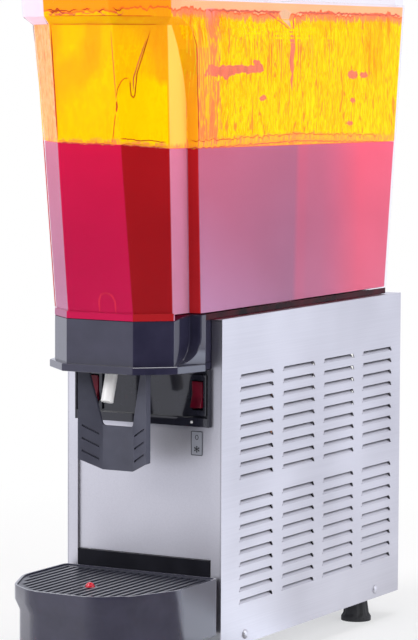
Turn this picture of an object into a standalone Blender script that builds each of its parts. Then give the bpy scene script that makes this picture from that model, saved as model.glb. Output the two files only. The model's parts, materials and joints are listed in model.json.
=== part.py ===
"""Cold drink dispenser with one clear bowl, a push lever tap and a drip tray.

Metres, Z up. The origin is under the middle of the whole outline, on the table.
X points to the object's right side, and the tap faces -Y.
"""
import math

import bmesh
import bpy
from mathutils import Matrix, Vector

# Cabinet
CABINET_WIDTH = 0.180
CABINET_DEPTH = 0.407
FOOT_HEIGHT = 0.027
CABINET_TOP = 0.360
SHEET = 0.001
FIT = 0.0003
OVERRUN = 0.004
RUNNING = 0.0008

# Bowl
BOWL_FLOOR = 0.367
BOWL_TOP = 0.676
BOWL_WALL = 0.004
BOWL_SIDE_INSET = 0.006
BOWL_SIDE = CABINET_WIDTH / 2 - BOWL_SIDE_INSET
BOWL_SIDE_DRAFT = 0.0207
BOWL_REAR_INSET = 0.0261
BOWL_REAR = CABINET_DEPTH - BOWL_REAR_INSET
BOWL_REAR_DRAFT = 0.0984
BOWL_REAR_CORNER = 0.008
NOSE_FLAT = 0.038
NOSE_FLAT_DRAFT = -0.008
NOSE_FRONT = 0.0855
NOSE_FRONT_DRAFT = 0.131
NOSE_CORNER_INSET = 0.0154
NOSE_CORNER = BOWL_SIDE - NOSE_CORNER_INSET
NOSE_CORNER_DRAFT = 0.0265
NOSE_CORNER_FRONT = 0.0586
NOSE_CORNER_FRONT_DRAFT = 0.090
FLUTE_DEPTH = 0.0135
FLUTE_INNER = BOWL_SIDE - FLUTE_DEPTH
FLUTE_INNER_DRAFT = 0.0282
SHOULDER_FRONT = 0.0312
SHOULDER_DRAFT = 0.0775
ARCH_DROP = 0.049
ARCH_START = BOWL_TOP - ARCH_DROP
FLUTE_FADE = 0.069
FLUTE_FADE_START = ARCH_START - FLUTE_FADE
RIM_BAND = 0.0185
RIM_STEP_HEIGHT = 0.008
RIM_STEP_END = BOWL_TOP - RIM_BAND
RIM_STEP_START = RIM_STEP_END - RIM_STEP_HEIGHT
RIM_STEP = 0.0075
RIM_CORNER_SHARE = 1.2
INNER_END_SHARE = 0.93
OUTER_END_SHARE = 0.85
RIM_SPREAD_SHARE = 0.35
LUG_SIZE = 0.012
LUG_INSET = 0.009
LUG_SIDE = BOWL_SIDE - LUG_INSET
LUG_FRONT = 0.060
LUG_REAR_INSET = 0.0409
LUG_REAR = BOWL_REAR - LUG_REAR_INSET

# Collar under the bowl's nose
COLLAR_BOTTOM = 0.310
COLLAR_LIP_TOP = 0.318
COLLAR_LIP = 0.0050
COLLAR_WALL = 0.003
COLLAR_RAMP_TOP = 0.345
COLLAR_BACK = 0.022

# Front panel and console
FLANGE_WIDTH = 0.012
FLANGE_INNER = CABINET_WIDTH / 2 - FLANGE_WIDTH
COLLAR_NECK = FLANGE_INNER - RUNNING
RECESS = 0.003
RECESS_BOTTOM = 0.118
RETURN = 0.012
CONSOLE_BOTTOM = 0.252
CONSOLE_PROUD = 0.001
CONSOLE_BAND_TOP = 0.261
CONSOLE_BAND_PROUD = 0.005
LAMP_RADIUS = 0.0014
SWITCH_RIGHT_INSET = 0.014
SWITCH_LEFT_INSET = 0.021
SWITCH_RIGHT_X = FLANGE_INNER - SWITCH_RIGHT_INSET
SWITCH_LEFT_X = SWITCH_LEFT_INSET - FLANGE_INNER
SWITCH_DROP = 0.002
SWITCH_HEIGHT = (CONSOLE_BAND_TOP + COLLAR_BOTTOM) / 2 - SWITCH_DROP
LAMP_OFFSET = 0.006
LAMP_X = SWITCH_RIGHT_X - LAMP_OFFSET
BEZEL_WIDTH = 0.020
BEZEL_LENGTH = 0.041
BEZEL_THICK = 0.002
BEZEL_BODY_DEPTH = 0.022
BEZEL_MARGIN = 0.0015
ROCKER_WIDTH = 0.012
ROCKER_LENGTH = 0.028
ROCKER_DEPTH = 0.009
ROCKER_TILT = math.radians(8)

# Tap
TAP_FRONT = 0.064
TAP_BARREL_RADIUS = 0.00925
TAP_BORE = 0.0066
TAP_TOP = 0.387
TAP_CAP = 0.0028
TAP_FLANGE_RADIUS = 0.0145
TAP_FLANGE_THICK = 0.0035
TAP_BLOCK_HALF = 0.0125
TAP_BLOCK_FRONT = 0.0815
TAP_BLOCK_BACK = 0.045
TAP_BLOCK_BOTTOM = 0.318
SPOUT_RADIUS = 0.00625
SPOUT_BORE = 0.0045
SPOUT_DROP = 0.0383
SPOUT_TIP_HEIGHT = TAP_BLOCK_BOTTOM - SPOUT_DROP
SPOUT_TILT = math.radians(18)
SPOUT_SOCKET = 0.0092528
SPOUT_ROOT_FRONT = 0.055849
SPOUT_FALL = SPOUT_SOCKET + SPOUT_DROP
SPOUT_LENGTH = SPOUT_FALL / math.cos(SPOUT_TILT)
SPOUT_TIP_FRONT = SPOUT_ROOT_FRONT + SPOUT_FALL * math.tan(SPOUT_TILT)
PLUNGER_RADIUS = 0.0050
PLUNGER_FOOT = 0.006
SEAL_RADIUS = 0.0063
SEAL_THICK = 0.0032
LINK_RADIUS = 0.0018
LINK_HALF = 0.0205
PIVOT_FRONT = 0.0760
PIVOT_RISE = 0.0205
PIVOT_HEIGHT = TAP_BLOCK_BOTTOM + PIVOT_RISE
LINK_HEIGHT = PIVOT_HEIGHT
PIVOT_RADIUS = 0.0022
PIVOT_HALF = 0.0215
LEVER_TRAVEL = math.radians(18)
TAP_SPRING_RADIUS = 0.0042
TAP_SPRING_WIRE = 0.0005
TAP_SPRING_TURNS = 5

# Lever
LEVER_BOTTOM = 0.2092
LEVER_WING_BOTTOM = 0.2216
LEVER_TOP = 0.322
LEVER_FACET = 0.0170
LEVER_HALF = 0.0393
LEVER_FACET_FRONT = 0.0510
LEVER_WING_FRONT = 0.0625
LEVER_THICK = 0.0032
LEVER_FLANGE = 0.009
NOTCH_BOTTOM = 0.2535
NOTCH_BOTTOM_HALF = 0.0173
NOTCH_TOP_HALF = 0.0305
EAR_INNER = 0.0145
EAR_THICK = 0.0035
EAR_RADIUS = 0.0045
RIB_GROOVE = 0.0020
RIB_PITCH = 0.0126
RIB_COUNT = 3
RIB_MARGIN = 0.0035
RIB_FALL = 0.0085
RIB_FIRST = -0.001

# Drip tray
TRAY_BOTTOM = 0.045
TRAY_LEDGE_LOW = 0.077
TRAY_LEDGE_HIGH = 0.088
TRAY_TOP = 0.102
TRAY_REACH = 0.160
TRAY_BACK = 0.004
TRAY_FLAT = 0.036
TRAY_SHOULDER_FRONT = 0.085
TRAY_CORNER_INSET = 0.023
TRAY_CORNER = CABINET_WIDTH / 2 - TRAY_CORNER_INSET
TRAY_CORNER_FRONT = 0.137
TRAY_INSET = 0.005
TRAY_WALL = 0.0025
TRAY_SEAT = 0.0030
TRAY_FRONT_RADIUS = 0.030
TRAY_SIDE_RADIUS = 0.050
TRAY_REAR_RADIUS = 0.007
TONGUE_HALF = 0.006
TONGUE_THICK = 0.004
TONGUE_SIDE = 0.046
TONGUE_REACH = 0.014
TONGUE_HEIGHT = 0.070
GRILLE_THICK = 0.003
GRILLE_DROP = 0.0015
GRILLE_PITCH = 0.0084
GRILLE_SLOT = 0.0046
GRILLE_MARGIN = 0.006
GRILLE_HALF_COUNT = 10
FLOAT_FRONT = 0.103
FLOAT_DOME = 0.0048
FLOAT_STEM = 0.0028
FLOAT_DISC = 0.013
FLOAT_DISC_THICK = 0.008
FLOAT_PROUD = 0.0045

# Louvres in the side panels
LOUVRE_HEIGHT = 0.0046
LOUVRE_PITCH = 0.0127
LOUVRE_BLOCK = 9
LOUVRE_FIRST_BACK = 0.0374
LOUVRE_LAST_INSET = 0.0219
LOUVRE_COLUMNS = 4
LOUVRE_GAP = 0.0199
LOUVRE_COLUMN_PITCH = (CABINET_DEPTH - LOUVRE_FIRST_BACK - LOUVRE_LAST_INSET + LOUVRE_GAP) / LOUVRE_COLUMNS
LOUVRE_LENGTH = LOUVRE_COLUMN_PITCH - LOUVRE_GAP
LOUVRE_TOP = 0.3019
LOUVRE_PRESS = 0.0035
LOUVRE_LIP = 0.0007

# Rear panel slots
REAR_SLOT_WIDTH = 0.050
REAR_SLOT_HEIGHT = 0.005
REAR_SLOT_PITCH = 0.014
REAR_SLOT_ROWS = 12
REAR_SLOT_COLUMN_PITCH = 0.064
REAR_SLOT_BOTTOM = 0.130

# Feet and screws
FOOT_SIDE_INSET = 0.025
FOOT_SIDE = CABINET_WIDTH / 2 - FOOT_SIDE_INSET
FOOT_INSET = 0.054
FOOT_BASE_RADIUS = 0.0165
FOOT_NECK_RADIUS = 0.0115
FOOT_LOBES = 8
FOOT_LOBE_DEPTH = 0.0012
FOOT_STEM_RADIUS = 0.0035
FOOT_STEM_TOP = 0.040
SCREW_HEAD = 0.0050
SCREW_HEAD_HEIGHT = 0.0024
SCREW_SHANK = 0.0020
SCREW_LENGTH = 0.004
SCREW_HEIGHT = 0.0365
SCREW_FRONT = 0.0506
SCREW_REAR_INSET = 0.058
SCREW_PLACES = (SCREW_FRONT, CABINET_DEPTH - SCREW_REAR_INSET)

# Evaporator and pump on the deck
EVAPORATOR_PLACE_SHARE = 5 / 11
EVAPORATOR_BACK = CABINET_DEPTH * EVAPORATOR_PLACE_SHARE
EVAPORATOR_RADIUS = 0.060
EVAPORATOR_TOP = 0.486
EVAPORATOR_SHOULDER = 0.010
EVAPORATOR_WALL = 0.0012
EVAPORATOR_FLANGE = 0.075
PIN_RADIUS = 0.0028
PIN_TOP = 0.500
INSULATION = 0.010
GASKET_LIP = 0.073
GASKET_TOP = 0.374
GASKET_WALL = 0.0044
MOTOR_RADIUS = 0.032
MOTOR_BOTTOM = 0.386
MOTOR_TOP = 0.452
MAGNET_RADIUS = 0.026
MAGNET_BOTTOM = 0.468
MAGNET_TOP = 0.482
SHAFT_RADIUS = 0.0028
IMPELLER_DISC_TOP = 0.495
IMPELLER_BLADE_TOP = 0.501
IMPELLER_BLADES = 6
COVER_RADIUS = 0.034
COVER_WALL = 0.003
COVER_TOP = 0.508
TUBE_RADIUS = 0.006
TUBE_BORE = 0.004
TUBE_DROP = 0.026
TUBE_TOP = BOWL_TOP - TUBE_DROP
COVER_SOCKET_SHARE = 0.14085
COVER_SOCKET_TOP = COVER_TOP + (TUBE_TOP - COVER_TOP) * COVER_SOCKET_SHARE
NOZZLE_RADIUS = 0.009
NOZZLE_OVERLAP = 0.010
NOZZLE_BOTTOM = TUBE_TOP - NOZZLE_OVERLAP
NOZZLE_LENGTH = 0.022
NOZZLE_TOP = NOZZLE_BOTTOM + NOZZLE_LENGTH

# Cooling unit in the cabinet
PAN_WALL = 0.0012
PAN_HEIGHT = 0.018
COMPRESSOR_INSET = 0.107
COMPRESSOR_BACK = CABINET_DEPTH - COMPRESSOR_INSET
COMPRESSOR_RADIUS = 0.058
COMPRESSOR_BOTTOM = 0.050
COMPRESSOR_TOP = 0.205
PLATE_THICK = 0.0025
GROMMET_RADIUS = 0.009
GROMMET_INSET = 0.015
GROMMET_PLACE = FOOT_SIDE - GROMMET_INSET
PLATE_EDGE = 0.016
PLATE_HALF = GROMMET_PLACE + PLATE_EDGE
CONDENSER_BACK = 0.034
CONDENSER_DEPTH = 0.028
CONDENSER_CLEAR = 0.022
CONDENSER_HALF = CABINET_WIDTH / 2 - CONDENSER_CLEAR
CONDENSER_TOP = 0.215
CONDENSER_FINS = 18
FIN_THICK = 0.0012
CORE_DEPTH = 0.008
FAN_BACK = 0.100
FAN_HEIGHT = 0.130
FAN_RADIUS = 0.066
FAN_BLADES = 5
FAN_HUB = 0.015
FAN_TIP_GAP = 0.004
FAN_ROOT_PITCH = math.radians(38)
FAN_TIP_PITCH = math.radians(27)
FAN_CHORD_SHARE = 1.1
SHROUD_CLEAR = 0.010
SHROUD_HALF = CABINET_WIDTH / 2 - SHROUD_CLEAR
SHROUD_DEPTH = 0.022
FAN_MOTOR_RADIUS = 0.026
FAN_MOTOR_DEPTH = 0.045
BOX_HALF = 0.050
BOX_FRONT = 0.034
BOX_CLEAR = 0.020
BOX_BACK = EVAPORATOR_BACK - EVAPORATOR_FLANGE - BOX_CLEAR
BOX_BOTTOM = 0.290
PIPE_RADIUS = 0.0030
GLAND_INSET = 0.035
GLAND_X = GLAND_INSET - CABINET_WIDTH / 2
GLAND_HEIGHT = 0.060
GLAND_RADIUS = 0.0085
GLAND_BORE = 0.0040
GLAND_PROUD = 0.0045

# Lid
LID_EDGE = 0.0090
LID_RISE = 0.016
LID_TOP = BOWL_TOP + LID_RISE
LID_STEP_IN = 0.007
LID_CROWN_IN = 0.012
LID_WALL = 0.0025
LID_PLUG_DEPTH = 0.008
LID_PLUG_WALL = 0.0025
LID_GRIP_LENGTH = 0.070
LID_GRIP_WIDTH = 0.016
LID_GRIP_HEIGHT = 0.008

ROUND_STEPS = 24
SMALL_STEPS = 12

REAR_REACH = BOWL_REAR + BOWL_REAR_DRAFT * (BOWL_TOP - BOWL_FLOOR)
FRONT = (TRAY_REACH - REAR_REACH) / 2
HALF = CABINET_WIDTH / 2
INSIDE = HALF - SHEET - FIT


def behind(distance):
    """World Y of a place this far behind the cabinet's front."""
    return FRONT + distance


def finish(name, colour, roughness, metallic=0.0, alpha=1.0):
    """One Principled BSDF material for each kind of surface."""
    material = bpy.data.materials.get(name)
    if material is None:
        material = bpy.data.materials.new(name)
        material.use_nodes = True
        shader = material.node_tree.nodes["Principled BSDF"]
        shader.inputs["Base Color"].default_value = (*colour, 1.0)
        shader.inputs["Roughness"].default_value = roughness
        shader.inputs["Metallic"].default_value = metallic
        shader.inputs["Alpha"].default_value = alpha
        material.diffuse_color = (*colour, alpha)
    return material


def steel():
    return finish("brushed_steel", (0.60, 0.60, 0.63), 0.32, 1.0)


def galvanised():
    return finish("galvanised_sheet", (0.52, 0.53, 0.55), 0.45, 1.0)


def black_gloss():
    return finish("black_gloss_plastic", (0.030, 0.030, 0.042), 0.22)


def dark_plastic():
    return finish("dark_grey_plastic", (0.060, 0.060, 0.075), 0.42)


def clear():
    return finish("clear_plastic", (0.95, 0.90, 0.92), 0.05, 0.0, 0.35)


def white_plastic():
    return finish("white_plastic", (0.85, 0.84, 0.84), 0.35)


def red_plastic():
    return finish("red_plastic", (0.60, 0.02, 0.05), 0.25)


def rubber():
    return finish("black_rubber", (0.020, 0.020, 0.022), 0.75)


def copper():
    return finish("copper", (0.72, 0.36, 0.22), 0.30, 1.0)


def aluminium():
    return finish("aluminium", (0.75, 0.76, 0.78), 0.38, 1.0)


def painted_black():
    return finish("black_enamel", (0.015, 0.015, 0.016), 0.40)


def foam():
    return finish("foam", (0.80, 0.72, 0.50), 0.90)


def stainless_bright():
    return finish("bright_steel", (0.70, 0.70, 0.72), 0.18, 1.0)


def add_object(name, mesh, material, smooth=None):
    item = bpy.data.objects.new(name, mesh)
    bpy.context.scene.collection.objects.link(item)
    mesh.materials.clear()
    mesh.materials.append(material)
    if smooth is not None:
        mesh.shade_smooth()
        mesh.set_sharp_from_angle(angle=math.radians(smooth))
    return item


def from_bmesh(name, bm, material, smooth=None):
    bmesh.ops.recalc_face_normals(bm, faces=bm.faces)
    mesh = bpy.data.meshes.new(name)
    bm.to_mesh(mesh)
    bm.free()
    return add_object(name, mesh, material, smooth)


def ring_of(bm, points):
    """Closed loop of edges through 3D points."""
    corners = [bm.verts.new(point) for point in points]
    edges = [bm.edges.new((corners[i - 1], corners[i])) for i in range(len(corners))]
    return corners, edges


def prism_mesh(outline, low, high, axis="Z"):
    """Flat outline extruded between two levels along X, Y or Z."""
    bm = bmesh.new()
    place = {"Z": lambda u, v: (u, v, low), "Y": lambda u, v: (u, low, v), "X": lambda u, v: (low, u, v)}[axis]
    corners = [bm.verts.new(place(u, v)) for u, v in outline]
    face = bm.faces.new(corners)
    grown = bmesh.ops.extrude_face_region(bm, geom=[face])
    moved = [part for part in grown["geom"] if isinstance(part, bmesh.types.BMVert)]
    shift = {"Z": (0, 0, high - low), "Y": (0, high - low, 0), "X": (high - low, 0, 0)}[axis]
    bmesh.ops.translate(bm, verts=moved, vec=shift)
    return bm


def prism(name, outline, low, high, material, axis="Z", smooth=None):
    return from_bmesh(name, prism_mesh(outline, low, high, axis), material, smooth)


def block(name, x, y, z, material):
    """Box from pairs of limits along X, Y and Z."""
    outline = [(x[0], y[0]), (x[1], y[0]), (x[1], y[1]), (x[0], y[1])]
    return prism(name, outline, z[0], z[1], material)


def loft(name, sections, material, smooth=None, closed=False):
    """Skin through sections with the same number of points, capped or closed on itself."""
    bm = bmesh.new()
    rings = [ring_of(bm, section) for section in sections]
    count = len(rings) if closed else len(rings) - 1
    for i in range(count):
        first = rings[i][0]
        second = rings[(i + 1) % len(rings)][0]
        for k in range(len(first)):
            bm.faces.new((first[k - 1], first[k], second[k], second[k - 1]))
    if not closed:
        bm.faces.new(rings[0][0])
        bm.faces.new(rings[-1][0])
    return from_bmesh(name, bm, material, smooth)


def turned(name, profile, centre, material, steps=ROUND_STEPS, axis="Z", smooth=35):
    """Closed (radius, height) profile spun about an axis through centre."""
    bm = bmesh.new()
    verts = [bm.verts.new((radius, 0, height)) for radius, height in profile]
    edges = [bm.edges.new((verts[i], verts[i + 1])) for i in range(len(verts) - 1)]
    on_axis = profile[0][0] == 0 and profile[-1][0] == 0
    if not on_axis:
        edges.append(bm.edges.new((verts[-1], verts[0])))
    bmesh.ops.spin(bm, geom=verts + edges, cent=(0, 0, 0), axis=(0, 0, 1), dvec=(0, 0, 0),
                   angle=math.tau, steps=steps, use_merge=True, use_duplicate=False)
    bmesh.ops.remove_doubles(bm, verts=bm.verts, dist=FIT / 100)
    if axis == "Y":
        bmesh.ops.rotate(bm, verts=bm.verts, cent=(0, 0, 0), matrix=Matrix.Rotation(math.radians(-90), 3, "X"))
    if axis == "X":
        bmesh.ops.rotate(bm, verts=bm.verts, cent=(0, 0, 0), matrix=Matrix.Rotation(math.radians(90), 3, "Y"))
    bmesh.ops.translate(bm, verts=bm.verts, vec=centre)
    return from_bmesh(name, bm, material, smooth)


def rod(name, radius, low, high, centre, material, steps=SMALL_STEPS, axis="Z"):
    """Plain round bar; centre gives the axis, low and high its ends along it."""
    return turned(name, [(0, low), (radius, low), (radius, high), (0, high)], centre, material, steps, axis)


def tube_ring(name, inner, outer, low, high, centre, material, steps=ROUND_STEPS, axis="Z"):
    profile = [(inner, low), (outer, low), (outer, high), (inner, high)]
    return turned(name, profile, centre, material, steps, axis)


def boolean(target, other, operation):
    modifier = target.modifiers.new(operation.lower(), "BOOLEAN")
    modifier.operation = operation
    modifier.solver = "EXACT"
    modifier.object = other
    other.hide_render = True
    other.display_type = "WIRE"


def cut(target, *cutters):
    for cutter in cutters:
        boolean(target, cutter, "DIFFERENCE")


def weld(target, *others):
    for other in others:
        boolean(target, other, "UNION")


def set_origin(item, point):
    item.data.transform(Matrix.Translation(-Vector(point)))
    item.location = point
    return item


def filleted(points, radii, steps=3):
    """Outline with each corner rounded to its own radius."""
    result = []
    for i, radius in enumerate(radii):
        corner = Vector(points[i])
        before = (Vector(points[i - 1]) - corner).normalized()
        after = (Vector(points[(i + 1) % len(points)]) - corner).normalized()
        if radius == 0:
            result.append(tuple(corner))
            continue
        half = before.angle(after) / 2
        reach = radius / math.tan(half)
        centre = corner + (before + after).normalized() * radius / math.sin(half)
        start = corner + before * reach - centre
        sweep = start.angle_signed(corner + after * reach - centre)
        for k in range(steps + 1):
            turn = Matrix.Rotation(-sweep * k / steps, 2)
            result.append(tuple(centre + turn @ start))
    return result


def grown(outline, amount):
    """Outline moved outwards by amount, or inwards where amount is below zero."""
    area = sum(outline[i - 1][0] * outline[i][1] - outline[i][0] * outline[i - 1][1] for i in range(len(outline)))
    side = 1 if area > 0 else -1
    result = []
    for i, point in enumerate(outline):
        here = Vector(point)
        first = (here - Vector(outline[i - 1])).normalized()
        second = (Vector(outline[(i + 1) % len(outline)]) - here).normalized()
        normals = Vector((first.y, -first.x)) * side, Vector((second.y, -second.x)) * side
        mitre = (normals[0] + normals[1]) / (1 + normals[0].dot(normals[1]))
        result.append(tuple(here + mitre * amount))
    return result


def mirrored(right_half):
    """Whole outline from its right half, which runs from the front to the rear."""
    return right_half + [(-x, y) for x, y in reversed(right_half)]


def at_level(outline, height):
    return [(x, y, height) for x, y in outline]


def rectangle(x_half, y_low, y_high):
    return [(-x_half, y_low), (x_half, y_low), (x_half, y_high), (-x_half, y_high)]


def pipe(name, route, radius, material, resolution=1):
    """Round pipe along hand-picked points, with its bends rounded by a curve."""
    curve = bpy.data.curves.new(name, "CURVE")
    curve.dimensions = "3D"
    curve.bevel_depth = radius
    curve.bevel_resolution = resolution
    curve.use_fill_caps = True
    spline = curve.splines.new("POLY")
    spline.points.add(len(route) - 1)
    for point, place in zip(spline.points, route):
        point.co = (*place, 1)
    curve.materials.append(material)
    item = bpy.data.objects.new(name, curve)
    bpy.context.scene.collection.objects.link(item)
    return item


def as_mesh(item, material):
    """Mesh object in place of a curve object, so that it can be joined to others."""
    mesh = bpy.data.meshes.new_from_object(item)
    name = item.name
    bpy.data.objects.remove(item)
    return add_object(name, mesh, material, smooth=35)


def bent(corners, radius, steps=3):
    """Route through corners with each bend replaced by an arc-like curve."""
    places = [Vector(corner) for corner in corners]
    route = [places[0]]
    for i in range(1, len(places) - 1):
        start = places[i] + (places[i - 1] - places[i]).normalized() * radius
        end = places[i] + (places[i + 1] - places[i]).normalized() * radius
        for k in range(steps + 1):
            share = k / steps
            route.append(start.lerp(places[i], share).lerp(places[i].lerp(end, share), share))
    route.append(places[-1])
    return route


def mix(start, end, share):
    return tuple(a + (b - a) * share for a, b in zip(start, end))


def screw_shape(name, x, back, height, direction):
    """Pan-head screw whose shank points into the cabinet along X."""
    head = [(0, -SCREW_LENGTH), (SCREW_SHANK, -SCREW_LENGTH), (SCREW_SHANK, FIT), (SCREW_HEAD, FIT),
            (SCREW_HEAD * 0.8, SCREW_HEAD_HEIGHT * 0.7), (SCREW_HEAD * 0.4, SCREW_HEAD_HEIGHT),
            (0, SCREW_HEAD_HEIGHT)]
    item = turned(name, head, (0, 0, 0), steel(), SMALL_STEPS, "X")
    if direction < 0:
        item.data.transform(Matrix.Rotation(math.pi, 4, "Z"))
    item.data.transform(Matrix.Translation((x, behind(back), height)))
    return item


def louvre_places():
    """Rear end and top edge of every louvre in a side panel."""
    places = []
    for column in range(LOUVRE_COLUMNS):
        back = LOUVRE_FIRST_BACK + column * LOUVRE_COLUMN_PITCH
        for row in range(2 * LOUVRE_BLOCK + 1):
            if row != LOUVRE_BLOCK:
                places.append((back, LOUVRE_TOP - row * LOUVRE_PITCH))
    return places


def louvre_tools():
    """All slots of a right side panel in one mesh, and all their pressed lips in another."""
    slots = bmesh.new()
    lips = bmesh.new()
    outer = HALF + OVERRUN
    inner = HALF - SHEET - OVERRUN
    bevel = LOUVRE_HEIGHT / 2
    for back, top in louvre_places():
        near = behind(back)
        far = near + LOUVRE_LENGTH
        low = top - LOUVRE_HEIGHT
        outline = [(near, low), (far, low), (far - bevel, top), (near + bevel, top)]
        add_prism_x(slots, outline, inner, outer)
        press = HALF - SHEET - LOUVRE_PRESS
        profile = [(HALF - SHEET / 2, low - LOUVRE_LIP), (HALF - SHEET / 2, low + FIT),
                   (press + LOUVRE_LIP, top - FIT), (press, top - FIT)]
        add_prism_y(lips, profile, near + bevel, far - bevel)
    return slots, lips


def add_prism_x(bm, outline, low, high):
    start = [bm.verts.new((low, u, v)) for u, v in outline]
    end = [bm.verts.new((high, u, v)) for u, v in outline]
    close_prism(bm, start, end)


def add_prism_y(bm, outline, low, high):
    start = [bm.verts.new((u, low, v)) for u, v in outline]
    end = [bm.verts.new((u, high, v)) for u, v in outline]
    close_prism(bm, start, end)


def close_prism(bm, start, end):
    bm.faces.new(start)
    bm.faces.new(end)
    for k in range(len(start)):
        bm.faces.new((start[k - 1], start[k], end[k], end[k - 1]))


def make_side_panels():
    """Louvred steel sheets; the slots open at the top of a lip pressed inwards."""
    for side, name in ((1, "right_side_panel"), (-1, "left_side_panel")):
        outline = [(HALF - SHEET, behind(0)), (HALF, behind(0)),
                   (HALF, behind(CABINET_DEPTH)), (HALF - SHEET, behind(CABINET_DEPTH))]
        panel = prism(name, outline, FOOT_HEIGHT, CABINET_TOP, steel())
        slots, lips = louvre_tools()
        slot_tool = from_bmesh(name + "_slots", slots, steel())
        lip_tool = from_bmesh(name + "_lips", lips, steel())
        holes = [rod(name + "_hole", SCREW_SHANK + FIT, HALF - SHEET - OVERRUN, HALF + OVERRUN,
                     (0, behind(back), SCREW_HEIGHT), steel(), SMALL_STEPS, "X") for back in SCREW_PLACES]
        cut(panel, slot_tool, *holes)
        weld(panel, lip_tool)
        if side < 0:
            for item in (panel, slot_tool, lip_tool, *holes):
                item.data.transform(Matrix.Scale(-1, 4, (1, 0, 0)))
                item.data.flip_normals()


def make_screws():
    for side, side_name in ((1, "right"), (-1, "left")):
        for back, end_name in zip(SCREW_PLACES, ("front", "rear")):
            screw_shape(f"{side_name}_{end_name}_screw", side * HALF, back, SCREW_HEIGHT, side)


def make_base_pan():
    """Folded sheet tray that carries the cooling unit; the feet hang in its corners."""
    low = FOOT_HEIGHT
    front = behind(SHEET + FIT)
    rear = behind(CABINET_DEPTH - SHEET - FIT)
    pan = block("base_pan", (-INSIDE, INSIDE), (front, rear), (low, low + PAN_HEIGHT), galvanised())
    hollow = block("pan_hollow", (-INSIDE + PAN_WALL, INSIDE - PAN_WALL), (front + PAN_WALL, rear - PAN_WALL),
                   (low + PAN_WALL, low + PAN_HEIGHT + OVERRUN), galvanised())
    holes = [rod("stem_hole", FOOT_STEM_RADIUS + FIT, low - OVERRUN, low + PAN_WALL + OVERRUN,
                 (x, y, 0), galvanised()) for x, y in foot_places()]
    for back in SCREW_PLACES:
        for side in (-1, 1):
            ends = sorted((side * (INSIDE - PAN_WALL - OVERRUN), side * (INSIDE + OVERRUN)))
            holes.append(rod("screw_hole", SCREW_SHANK + FIT, *ends, (0, behind(back), SCREW_HEIGHT),
                             galvanised(), SMALL_STEPS, "X"))
    cut(pan, hollow, *holes)


def foot_places():
    return [(x, y) for y in (behind(FOOT_INSET), behind(CABINET_DEPTH - FOOT_INSET))
            for x in (-FOOT_SIDE, FOOT_SIDE)]


def make_feet():
    """Screw-in levelling feet with a lobed grip that flares towards the floor."""
    names = ("front_left_foot", "front_right_foot", "rear_left_foot", "rear_right_foot")
    radius_shares = (1.0, 1.0, 0.86, 0.80)
    height_shares = (0.0, 0.16, 0.30, 1.0)
    per_lobe = 3
    for name, (x, y) in zip(names, foot_places()):
        sections = []
        for level, (radius_share, height_share) in enumerate(zip(radius_shares, height_shares)):
            ring = []
            base = FOOT_BASE_RADIUS * radius_share if level < len(radius_shares) - 1 else FOOT_NECK_RADIUS
            for k in range(FOOT_LOBES * per_lobe):
                angle = math.tau * k / (FOOT_LOBES * per_lobe)
                depth = FOOT_LOBE_DEPTH if level > 1 and k % per_lobe == 0 else 0
                ring.append(((base - depth) * math.cos(angle), (base - depth) * math.sin(angle),
                             height_share * (FOOT_HEIGHT - FIT)))
            sections.append(ring)
        foot = loft(name, sections, rubber(), smooth=30)
        stem = rod(name + "_stem", FOOT_STEM_RADIUS, FOOT_HEIGHT - OVERRUN, FOOT_STEM_TOP, (0, 0, 0), rubber(), 8)
        foot.location = (x, y, 0)
        stem.location = (x, y, 0)
        weld(foot, stem)


def make_front_panel():
    """Folded steel front: two flanges, a recess between them and a return down each side."""
    outer = [(-INSIDE, behind(RETURN)), (-INSIDE, behind(0)), (-FLANGE_INNER, behind(0)),
             (-FLANGE_INNER, behind(RECESS)), (FLANGE_INNER, behind(RECESS)), (FLANGE_INNER, behind(0)),
             (INSIDE, behind(0)), (INSIDE, behind(RETURN))]
    inner = [(INSIDE - SHEET, behind(RETURN)), (INSIDE - SHEET, behind(SHEET)),
             (FLANGE_INNER + SHEET, behind(SHEET)), (FLANGE_INNER + SHEET, behind(RECESS + SHEET)),
             (-FLANGE_INNER - SHEET, behind(RECESS + SHEET)), (-FLANGE_INNER - SHEET, behind(SHEET)),
             (-INSIDE + SHEET, behind(SHEET)), (-INSIDE + SHEET, behind(RETURN))]
    low = FOOT_HEIGHT + PAN_HEIGHT + FIT
    panel = prism("front_panel", outer + inner, low, deck_bottom() - FIT, steel())
    opening = block("tray_bracket_opening", (-FLANGE_INNER, FLANGE_INNER), (behind(-OVERRUN), behind(RETURN)),
                    (low - OVERRUN, RECESS_BOTTOM), steel())
    cut(panel, opening, *switch_holes("panel"))


def deck_bottom():
    return CABINET_TOP - FIT - 1.5 * SHEET


def switch_places():
    return (("left", SWITCH_LEFT_X), ("right", SWITCH_RIGHT_X))


def switch_holes(name):
    width = BEZEL_WIDTH / 2 - BEZEL_MARGIN + FIT
    length = BEZEL_LENGTH / 2 - BEZEL_MARGIN + FIT
    return [block(name + "_switch_hole", (x - width, x + width), (behind(-OVERRUN * 3), behind(RETURN)),
                  (SWITCH_HEIGHT - length, SWITCH_HEIGHT + length), steel()) for side, x in switch_places()]


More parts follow.
